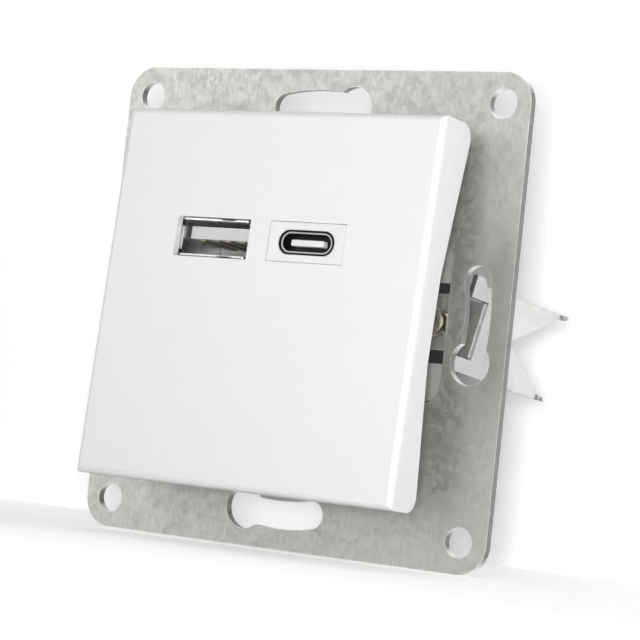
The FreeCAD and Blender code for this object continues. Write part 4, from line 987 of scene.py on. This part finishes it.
@dataclass
class Port:
    """What both ports share.

    Attributes:
        face: the cover's frame.
        centre: X and Z of the port's middle in that frame.
        shell: full width and height of the shell.
        shell_rear: depth of the shell's end.
    """

    face: CoverFrame = CoverFrame()
    centre: Pair = (0.0, 0.0)
    shell: Pair = (0.0, 0.0)
    shell_rear: float = 14.38 * MM

    def tube(self, mesh: Mesh, steps: Steps, closed: bool = True) -> None:
        """Add a tube of rectangles, given by size, depth and corner radius, to a mesh."""
        join_loops(mesh, [self.face.loop(mesh, self.centre, *step) for step in steps], closed)

    def piece(self, name: str, mesh: Mesh, finish: Finish, slot: str) -> bpy.types.Object:
        """Turn a mesh in the cover's frame into a piece of the port."""
        mesh.transform(self.face.matrix())
        return new_piece(name, mesh, finish, "socket")

    def ring(self, name: str, steps: Steps, finish: Finish, slot: str,
             closed: bool = True) -> bpy.types.Object:
        """Build a piece of rounded rectangles.

        Args:
            name: the piece's name.
            steps: size, depth and corner radius of each rectangle, in order round the section.
            finish: its finish.
            slot: not used.
            closed: whether the section closes on itself.

        Returns:
            The piece.
        """
        mesh = bmesh.new()
        self.tube(mesh, steps, closed)
        return self.piece(name, mesh, finish, slot)


@dataclass
class OvalPort(Port):
    """The oval port's visible mouth: a drawn shell in a black ring, with a white bar inside. The
    black ring and liner are painted shade.

    Attributes:
        mouth: full width and height of the block's mouth.
        wall: thickness of the shell.
        front: depth of the shell's lip.
        lip: how much the lip narrows to its front.
        clear: play between the shell and what is next to it.
        ring_ends: depth of the black ring's front and rear; the ring is painted shade in the gap
            round the shell.
        shade_liner_step: how far the black liner, painted shade inside the shell, stands behind the
            lip.
        shade_liner_wall: thickness of the liner on both sides together.
        floor_depth: depth of the liner's black floor round the bar, painted shade.
        slit: gap round the bar on both sides together.
        bar: width and height of the white bar.
        bar_front: depth of the bar's front.
        bar_edge: width of the bar's rounded front edge.
        corner: radius of the bar's corners.
        tongue_front: depth at which the thin tongue starts.
    """

    centre: Pair = (7.6 * MM, 8.45 * MM)
    shell: Pair = (8.74 * MM, 3.06 * MM)
    mouth: Pair = (9.56 * MM, 3.56 * MM)
    wall: float = 0.24 * MM
    front: float = 0.2 * MM
    lip: float = 0.08 * MM
    clear: float = 0.03 * MM
    ring_ends: Pair = (0.16 * MM, 0.95 * MM)
    shade_liner_step: float = 0.12 * MM
    shade_liner_wall: float = 0.16 * MM
    floor_depth: float = 1.4 * MM
    slit: float = 0.04 * MM
    bar: Pair = (5.6 * MM, 0.9 * MM)
    bar_front: float = 0.45 * MM
    bar_edge: float = 0.08 * MM
    corner: float = 0.22 * MM
    tongue_front: float = 1.97 * MM

    def build(self) -> None:
        """Build shell, black ring, liner and bar; ring and liner are painted shade."""
        inside = grown(self.shell, -2 * self.wall)
        front, rear, behind_lip = self.front, self.shell_rear, self.front + self.lip / 2
        shell = self.ring("drawn_oval_shell", (
            (grown(self.shell, -self.lip), front, 0), (self.shell, behind_lip, 0),
            (self.shell, rear, 0), (inside, rear, 0), (inside, behind_lip, 0),
            (grown(inside, self.lip), front, 0)), OVAL_STEEL, "port_steel")
        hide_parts("usb_c_shell")
        seat = grown(self.shell, self.clear)
        ring_front, ring_rear = self.ring_ends
        # painted shade: black ring in the gap between the mouth and the shell.
        self.ring("mouth_shade_ring", (
            (self.mouth, ring_front, 0), (self.mouth, ring_rear, 0), (seat, ring_rear, 0),
            (seat, ring_front, 0)), PORT_SHADE_BLACK, "bobbin_plastic")
        liner = grown(inside, -self.clear)
        well, gap = grown(liner, -self.shade_liner_wall), grown(self.bar, self.slit)
        corner, liner_front = self.corner, front + self.shade_liner_step
        # painted shade: black liner and floor inside the shell, round the bar.
        self.ring("oval_shade_liner", (
            (liner, liner_front, 0), (liner, self.tongue_front, 0),
            (gap, self.tongue_front, corner), (gap, self.floor_depth, corner),
            (well, self.floor_depth, 0), (well, liner_front, 0)), PORT_SHADE_BLACK, "bobbin_plastic")
        bar, edge = self.bar, self.bar_edge
        self.ring("oval_tongue_bar", (
            (grown(bar, -2 * edge), self.bar_front, corner - edge),
            (grown(bar, -0.6 * edge), self.bar_front + 0.3 * edge, corner - 0.3 * edge),
            (bar, self.bar_front + edge, corner), (bar, self.tongue_front, corner)),
            TONGUE_WHITE, "white_plastic", closed=False)


@dataclass
class WidePort(Port):
    """The wide port's drawn shell, with a lip on each side and a black sleeve behind the lips,
    painted shade in the gaps by the lips.

    Attributes:
        wall: thickness of the shell.
        side_wall: thickness of the side lips.
        corners: outer and inner radius of the tube's corners.
        tube_front: depth at which the closed tube starts.
        lap: how far the lips run into the tube.
        level_lip: depth of the upper and lower lips.
        side_lip: depth of the side lips.
        level_round: rounding of the upper and lower lips' fronts.
        side_round: rounding of the side lips' fronts, and of all on the inside.
        level_reach: half length of the upper and lower lips.
        side_reach: half length of the side lips.
        lip_steps: steps along each lip.
        lip_end: length over which a lip's end falls back, and by how much.
        dip: place, half length and depth of the dip in the upper and lower lips.
        sleeve: how much larger than the shell the black sleeve is outside and inside.
        sleeve_ends: depth of the sleeve's front and rear.
        sleeve_corner: radius of its corners.
    """

    centre: Pair = (-8.95 * MM, 8.45 * MM)
    shell: Pair = (12.9 * MM, 5.7 * MM)
    wall: float = 0.35 * MM
    side_wall: float = 0.46 * MM
    corners: Pair = (0.5 * MM, 0.2 * MM)
    tube_front: float = 1.9 * MM
    lap: float = 0.02 * MM
    level_lip: float = 0.3 * MM
    side_lip: float = 1.05 * MM
    level_round: float = 0.12 * MM
    side_round: float = 0.05 * MM
    level_reach: float = 5.75 * MM
    side_reach: float = 1.8 * MM
    lip_steps: int = 48
    lip_end: Pair = (0.3 * MM, 0.2 * MM)
    dip: Point = (2.4 * MM, 1.5 * MM, 0.17 * MM)
    sleeve: Pair = (0.17 * MM, 0.04 * MM)
    sleeve_ends: Pair = (1.2 * MM, 2.6 * MM)
    sleeve_corner: float = 0.3 * MM

    def lip(self, mesh: Mesh, level: bool, sign: int) -> None:
        """Add one lip.

        Args:
            mesh: the mesh to add to.
            level: whether it is the upper or lower lip, and not one at the side.
            sign: 1 for the upper or right one, -1 for the lower or left one.
        """
        reach = self.level_reach if level else self.side_reach
        front = self.level_lip if level else self.side_lip
        outer = (self.shell[1] if level else self.shell[0]) / 2
        inner = outer - (self.wall if level else self.side_wall)
        bend = self.level_round if level else self.side_round
        rear = self.tube_front + self.lap
        loops = []
        for step in range(self.lip_steps + 1):
            along = reach * (2 * step / self.lip_steps - 1)
            share = (along - self.dip[0]) / self.dip[1]
            skin = outer - (self.dip[2] * max(0.0, 1.0 - share ** 4) if level else 0.0)
            end = max(0.0, 1.0 - (reach - abs(along)) / self.lip_end[0])
            start = front + self.lip_end[1] * end ** 2
            section = ((skin, rear), (skin, start + bend),
                       (skin - bend * 0.3, start + bend * 0.3), (skin - bend, start),
                       (inner + self.side_round, start), (inner, start + self.side_round),
                       (inner, rear))
            loop = []
            for across, depth in section:
                x, z = (along, sign * across) if level else (sign * across, along)
                loop.append(mesh.verts.new((self.centre[0] + x, depth, self.centre[1] + z)))
            loops.append(loop)
        join_loops(mesh, loops, False)

    def build(self) -> None:
        """Build the shell and the sleeve."""
        mesh = bmesh.new()
        inside = grown(self.shell, -2 * self.wall)
        outer_corner, inner_corner = self.corners
        front, rear = self.tube_front, self.shell_rear
        self.tube(mesh, (
            (self.shell, front, outer_corner), (self.shell, rear, outer_corner),
            (inside, rear, inner_corner), (inside, front, inner_corner)))
        for level in (True, False):
            for sign in (1, -1):
                self.lip(mesh, level, sign)
        shell = self.piece("drawn_wide_shell", mesh, DRAWN_STEEL, "port_steel")
        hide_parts("usb_a_shell")
        outer, seat = (grown(self.shell, by) for by in self.sleeve)
        front, rear = self.sleeve_ends
        # painted shade: black sleeve behind the lips, seen in the gaps beside them.
        self.ring("wide_port_shade_sleeve", tuple(
            (size, depth, self.sleeve_corner)
            for size, depth in ((outer, front), (outer, rear), (seat, rear), (seat, front))),
            PORT_SHADE_BLACK, "bobbin_plastic")


@dataclass
class Ports(SubAssembly):
    """Both ports, with their tongues and contacts."""

    coats: Coats = (
        ("usb_a_tongue", PORT_WHITE, 0.06 * MM), ("usb_c_tongue", TONGUE_WHITE, 0.04 * MM),
        ("usb_a_contacts", CONTACT_GOLD, 0.04 * MM), ("usb_c_contacts", CONTACT_GOLD, 0.0))

    def build(self) -> None:
        """Build the drawn shells and the black pieces that paint the shade in them."""
        OvalPort().build()
        WidePort().build()


@dataclass
class Housing(SubAssembly):
    """Front housing, rear casing and their screws. The casing's front band is near black, as
    painted shade.
    """

    coats: Coats = (
        ("front_housing", HOUSING_GREY, 0.15 * MM), ("rear_casing", CASING_GREY, 0.2 * MM),
        ("housing_screws", SCREW_ZINC, 0.08 * MM))


@dataclass
class Terminals(SubAssembly):
    """Terminal block, clamps and screws."""

    coats: Coats = (
        ("terminal_block", TERMINAL_GREY, 0.15 * MM),
        ("terminal_clamp_left", CLAMP_BRASS, 0.08 * MM),
        ("terminal_screw_left", SCREW_ZINC, 0.1 * MM),
        ("terminal_clamp_right", CLAMP_BRASS, 0.08 * MM),
        ("terminal_screw_right", SCREW_ZINC, 0.1 * MM))


@dataclass
class Boards(SubAssembly):
    """Both boards and what they carry."""

    coats: Coats = (
        ("port_board", BOARD_GREEN, 0.05 * MM), ("power_board", BOARD_GREEN, 0.05 * MM),
        ("transformer_core", FERRITE, 0.12 * MM),
        ("transformer_bobbin", BLACK_PLASTIC, 0.08 * MM),
        ("transformer_winding", COPPER_WIRE, 0.08 * MM),
        ("input_capacitors", CAN_SLEEVE, 0.25 * MM),
        ("output_capacitor", CAN_SLEEVE, 0.25 * MM), ("filter_coil", FERRITE, 0.1 * MM),
        ("fuse_resistor", RESISTOR_COAT, 0.15 * MM), ("rectifier", BLACK_PLASTIC, 0.1 * MM),
        ("controller", BLACK_PLASTIC, 0.1 * MM), ("link_pins", PIN_TIN, 0.05 * MM),
        ("link_header", BLACK_PLASTIC, 0.06 * MM))


class Side(Enum):
    """The two sides of the socket, with the sign of X."""

    LEFT = -1
    RIGHT = 1

    @property
    def word(self) -> str:
        """Return the side's name as it stands in piece names."""
        return self.name.lower()


@dataclass
class ClawScrew:
    """A threaded claw screw, domed under its head.

    Attributes:
        side: which screw it is.
        axis_x: distance of its axis from the middle.
        axis_z: height of its axis.
        crest: outer radius of the thread.
        core: radius at the thread's root.
        pitch: rise per turn.
        head_radius: radius of its head.
        head_steps: distance from the head's top and share of its radius, for each of its rings.
        dome: radius of the sphere under its head.
        dome_steps: steps along that sphere.
        plain: length of the shank before the thread.
        slot: half length and half width of each arm of the cross recess.
        slot_ends: distance from the head's top and share of the arm's size, for both ends of it.
        around: points in each ring.
    """

    side: Side
    axis_x: float = 22.7 * MM
    axis_z: float = -0.4 * MM
    crest: float = 1.6 * MM
    core: float = 1.3 * MM
    pitch: float = 0.6 * MM
    head_radius: float = 2.4 * MM
    head_steps: tuple[Pair, ...] = ((0.12 * MM, 0.05 / 2.4), (0.12 * MM, 0.55), (0.05 * MM, 0.8),
                                    (0.16 * MM, 0.97), (0.34 * MM, 1.0))
    dome: float = 2.95 * MM
    dome_steps: int = 6
    plain: float = 0.3 * MM
    slot: Pair = (1.35 * MM, 0.3 * MM)
    slot_ends: tuple[Pair, Pair] = ((-0.6 * MM, 1.15), (1.25 * MM, 0.55))
    around: int = 28

    def ring(self, mesh: Mesh, y: float, radius: float, threaded: bool = False) -> Loop:
        """Add one ring of points.

        Args:
            mesh: the mesh to add to.
            y: place along the axis.
            radius: the ring's radius where it is plain.
            threaded: whether it follows the thread.

        Returns:
            The new points.
        """
        points = []
        for index in range(self.around):
            angle = 2 * math.pi * index / self.around
            reach = radius
            if threaded:
                phase = (y / self.pitch - index / self.around) % 1.0
                reach = self.core + (self.crest - self.core) * (1.0 - abs(2.0 * phase - 1.0))
            x = self.side.value * self.axis_x + reach * math.cos(angle)
            points.append(mesh.verts.new((x, y, self.axis_z + reach * math.sin(angle))))
        return points

    def build(self) -> None:
        """Build the screw in place of the plain one."""
        node = f"claw_screw_{self.side.word}"
        low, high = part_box(node)
        mesh = bmesh.new()
        rings = [self.ring(mesh, low.y + y, self.head_radius * share)
                 for y, share in self.head_steps]
        start, end = (math.sqrt(self.dome ** 2 - radius ** 2)
                      for radius in (self.head_radius, self.crest))
        for step in range(self.dome_steps + 1):
            drop = start + (end - start) * step / self.dome_steps
            rings.append(self.ring(mesh, low.y + drop, math.sqrt(self.dome ** 2 - drop ** 2)))
        y = low.y + end + self.plain
        rings.append(self.ring(mesh, y, self.core))
        while y < high.y - 1.2 * self.pitch:
            y += self.pitch / 6
            rings.append(self.ring(mesh, y, self.crest, threaded=True))
        rings.append(self.ring(mesh, high.y - 0.5 * self.pitch, self.core))
        rings.append(self.ring(mesh, high.y, self.core * 0.75))
        join_loops(mesh, rings, False)
        piece = new_piece(f"threaded_screw_{self.side.word}", mesh, SCREW_NICKEL, node)
        self.cut_recess(piece, low.y)
        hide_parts(node)

    def cut_recess(self, piece: bpy.types.Object, top: float) -> None:
        """Cut the cross recess into the head.

        Args:
            piece: the screw.
            top: Y of the head's top.
        """
        cutter = bmesh.new()
        for long_x, long_z in (self.slot, self.slot[::-1]):
            loops = []
            for y, share in self.slot_ends:
                loops.append([cutter.verts.new((
                    self.side.value * self.axis_x + sign_x * long_x * share, top + y,
                    self.axis_z + sign_z * long_z * share))
                    for sign_x, sign_z in ((-1, -1), (1, -1), (1, 1), (-1, 1))])
            join_loops(cutter, loops, False)
        bmesh.ops.recalc_face_normals(cutter, faces=cutter.faces[:])
        tool = add_mesh("recess", cutter)
        carve = modify(piece, "recess", "BOOLEAN", operation="DIFFERENCE", solver="EXACT",
                       use_self=True, object=tool)
        bpy.context.view_layer.update()
        graph = bpy.context.evaluated_depsgraph_get()
        carved = bpy.data.meshes.new_from_object(piece.evaluated_get(graph))
        piece.modifiers.remove(carve)
        piece.data = carved
        piece.data.set_sharp_from_angle(angle=SHARP_ANGLE)
        bpy.data.objects.remove(tool)


@dataclass
class Claws(SubAssembly):
    """Both claws with their nuts and screws."""

    coats: Coats = (
        ("claw_left", CLAW_STEEL, 0.1 * MM), ("claw_nut_left", SCREW_ZINC, 0.15 * MM),
        ("claw_right", CLAW_STEEL, 0.1 * MM), ("claw_nut_right", SCREW_ZINC, 0.15 * MM))

    def build(self) -> None:
        """Build both threaded screws."""
        for side in Side:
            ClawScrew(side).build()


# ---------------------------------------------------------------- studio


def compass(azimuth: float, elevation: float, distance: float = 1.0) -> Point:
    """Return a place round the object.

    Args:
        azimuth: degrees from the front towards the right.
        elevation: degrees above the horizon.
        distance: metres from the middle.

    Returns:
        The place.
    """
    turn, rise = math.radians(azimuth), math.radians(elevation)
    flat = distance * math.cos(rise)
    return (flat * math.sin(turn), -flat * math.cos(turn), distance * math.sin(rise))


@dataclass
class SoftLight:
    """One soft lamp, which points at the middle of the object.

    Attributes:
        name: the lamp's name.
        place: where it stands.
        width: its width.
        power: its power, in watts.
    """

    name: str
    place: Point
    width: float
    power: float

    def build(self) -> None:
        """Add the lamp."""
        data = bpy.data.lights.new(self.name, "AREA")
        lamp = add_object(self.name, arrange(data, shape="SQUARE", size=self.width,
                                             energy=self.power))
        lamp.visible_camera = False
        turn = Vector(self.place).to_track_quat("Z", "Y").to_matrix().to_4x4()
        lamp.matrix_world = Matrix.Translation(self.place) @ turn


@dataclass
class Studio:
    """Camera, backdrop, floor and lights.

    Attributes:
        camera_place: the camera.
        azimuth: its direction round the object.
        elevation: its direction above the horizon.
        roll: its turn about its own axis.
        lens: focal length, in millimetres.
        sensor: width of the sensor, in millimetres.
        clip: nearest and farthest distance that the camera sees.
        ambient: strength of the light from all round.
        floor_half: half width of the floor.
        floor_drop: how far it lies under the object.
        floor_glow: light that it adds for the eye.
        behind: distance of the backdrop behind the plate.
        backdrop_half: half width of the backdrop.
        backdrop_sink: how far it reaches below the object.
        backdrop_glow: light that it adds for the eye.
        paper_white: how much light the paper gives back.
        key_distance: distance of the key lamp from the middle.
        key_shift: how far it is up and left of the camera's line.
    """

    camera_place: Point = (211.139 * MM, -311.808 * MM, -16.430 * MM)
    azimuth: float = 33.7
    elevation: float = -2.3
    roll: float = 6.0
    lens: float = 143.97
    sensor: float = 36.0
    clip: Pair = (0.01, 20.0)
    ambient: float = 0.1
    floor_half: float = 1.5
    floor_drop: float = 0.2 * MM
    floor_glow: float = 0.42
    behind: float = 42 * MM
    backdrop_half: float = 140 * MM
    backdrop_sink: float = 1 * MM
    backdrop_glow: float = 0.3
    paper_white: float = 0.98
    key_distance: float = 0.4
    key_shift: float = 11 * MM

    def axes(self) -> tuple[Vector, Vector, Vector]:
        """Work out how the camera is turned.

        Returns:
            Its right, up and backward directions.
        """
        lean = math.radians(self.roll)
        back = Vector(compass(self.azimuth, self.elevation))
        right = (-back).cross(Vector((0, 0, 1))).normalized()
        up = right.cross(-back)
        leaned_right = right * math.cos(lean) + up * math.sin(lean)
        leaned_up = up * math.cos(lean) - right * math.sin(lean)
        return leaned_right, leaned_up, back

    def build_camera(self) -> None:
        """Set up the camera."""
        data = arrange(bpy.data.cameras.new("photo_camera"), lens=self.lens,
                       sensor_width=self.sensor, sensor_fit="HORIZONTAL",
                       clip_start=self.clip[0], clip_end=self.clip[1])
        camera = add_object("photo_camera", data)
        turn = Matrix(self.axes()).transposed().to_4x4()
        camera.matrix_world = Matrix.Translation(self.camera_place) @ turn
        bpy.context.scene.camera = camera

    def build_world(self) -> None:
        """Light the scene evenly, and show white behind everything."""
        world = bpy.data.worlds.new("white_room")
        bpy.context.scene.world = world
        world.use_nodes = True
        sheet = NodeSheet(world.node_tree)
        background = world.node_tree.nodes["Background"].inputs
        background["Color"].default_value = rgba((1.0, 1.0, 1.0))
        strength = sheet.remap(self.seen(sheet), 0.0, 1.0, self.ambient, 1.0)
        sheet.feed(strength, background["Strength"])

    def seen(self, sheet: NodeSheet) -> Socket:
        """Pick the rays that show a thing to the eye: direct, mirrored or through glass.

        Args:
            sheet: the nodes to add to.

        Returns:
            A socket that is 1 for those rays.
        """
        rays = sheet.add("ShaderNodeLightPath").outputs
        direct = sheet.math("MAXIMUM", rays["Is Camera Ray"], rays["Is Glossy Ray"])
        return sheet.math("MAXIMUM", direct, rays["Is Transmission Ray"])

    def build_paper(self, name: str, half: float, place: Matrix, glow: float) -> None:
        """Add a square sheet of white paper.

        Args:
            name: the sheet's name.
            half: half of its width.
            place: the turn and shift to its place.
            glow: light that it adds for the eye.
        """
        mesh = bmesh.new()
        bmesh.ops.create_grid(mesh, x_segments=1, y_segments=1, size=half)
        mesh.transform(place)
        paper = add_mesh(name, mesh)
        paper.data.materials.append(self.white_paper(f"{name}_paper", glow, name == "backdrop"))

    def build_papers(self) -> None:
        """Lay a white floor, and stand a white wall close behind, for the object's shadow."""
        low = CAD_BOX[0][2]
        self.build_paper("floor", self.floor_half,
                         Matrix.Translation((0, 0, low - self.floor_drop)), self.floor_glow)
        middle = low + self.backdrop_half - self.backdrop_sink
        upright = Matrix.Rotation(math.radians(90), 4, "X")
        self.build_paper("backdrop", self.backdrop_half,
                         Matrix.Translation((0, self.behind, middle)) @ upright,
                         self.backdrop_glow)

    def white_paper(self, name: str, glow: float, one_sided: bool) -> bpy.types.Material:
        """Make a matt white that reaches full white where no shadow falls.

        Args:
            name: the material's name.
            glow: light that it adds for the eye.
            one_sided: leave the rear side clear.

        Returns:
            The material.
        """
        made = bpy.data.materials.new(name)
        made.use_nodes = True
        sheet = NodeSheet(made.node_tree)
        made.node_tree.nodes.remove(made.node_tree.nodes["Principled BSDF"])
        matt = sheet.run("ShaderNodeBsdfDiffuse", {"Color": rgba((self.paper_white,) * 3)})
        strength = sheet.times(self.seen(sheet), glow)
        light = sheet.run("ShaderNodeEmission", {"Strength": strength})
        surface = sheet.run("ShaderNodeAddShader", {0: matt, 1: light})
        if one_sided:
            clear = sheet.run("ShaderNodeBsdfTransparent", {})
            rear = sheet.run("ShaderNodeNewGeometry", {}, "Backfacing")
            surface = sheet.run("ShaderNodeMixShader", {0: rear, 1: surface, 2: clear})
        sheet.feed(surface, made.node_tree.nodes["Material Output"].inputs["Surface"])
        return made

    def lamps(self) -> list[SoftLight]:
        """Plan the key by the camera and the softer lamps on the left, right, above and behind.

        Returns:
            The lamps.
        """
        right, up, back = self.axes()
        key = back * self.key_distance + (up - right) * self.key_shift
        return [
            SoftLight("key", tuple(key), width=0.052, power=0.95),
            SoftLight("left_soft", compass(-38.0, 15.0, 0.7), width=0.3, power=0.52),
            SoftLight("right_fill", compass(84.0, 4.0, 0.8), width=0.2, power=1.2),
            SoftLight("overhead", (-0.03, -0.12, 0.68), width=0.6, power=0.6),
            SoftLight("rear_top", compass(170.0, 68.0, 0.6), width=0.22, power=2.5),
        ]

    def build(self) -> None:
        """Set up the whole studio."""
        self.build_camera()
        self.build_world()
        self.build_papers()
        for lamp in self.lamps():
            lamp.build()
        bpy.context.scene.view_settings.view_transform = "Standard"


def main() -> None:
    """Build and dress every sub-assembly, then the studio."""
    logging.basicConfig(level=logging.INFO, format="%(name)s: %(message)s")
    for part in (MountingPlate(), CoverPlate(), Ports(), Housing(), Terminals(), Boards(), Claws()):
        part.build()
        part.dress()
    Studio().build()


if __name__ == "__main__":
    main()
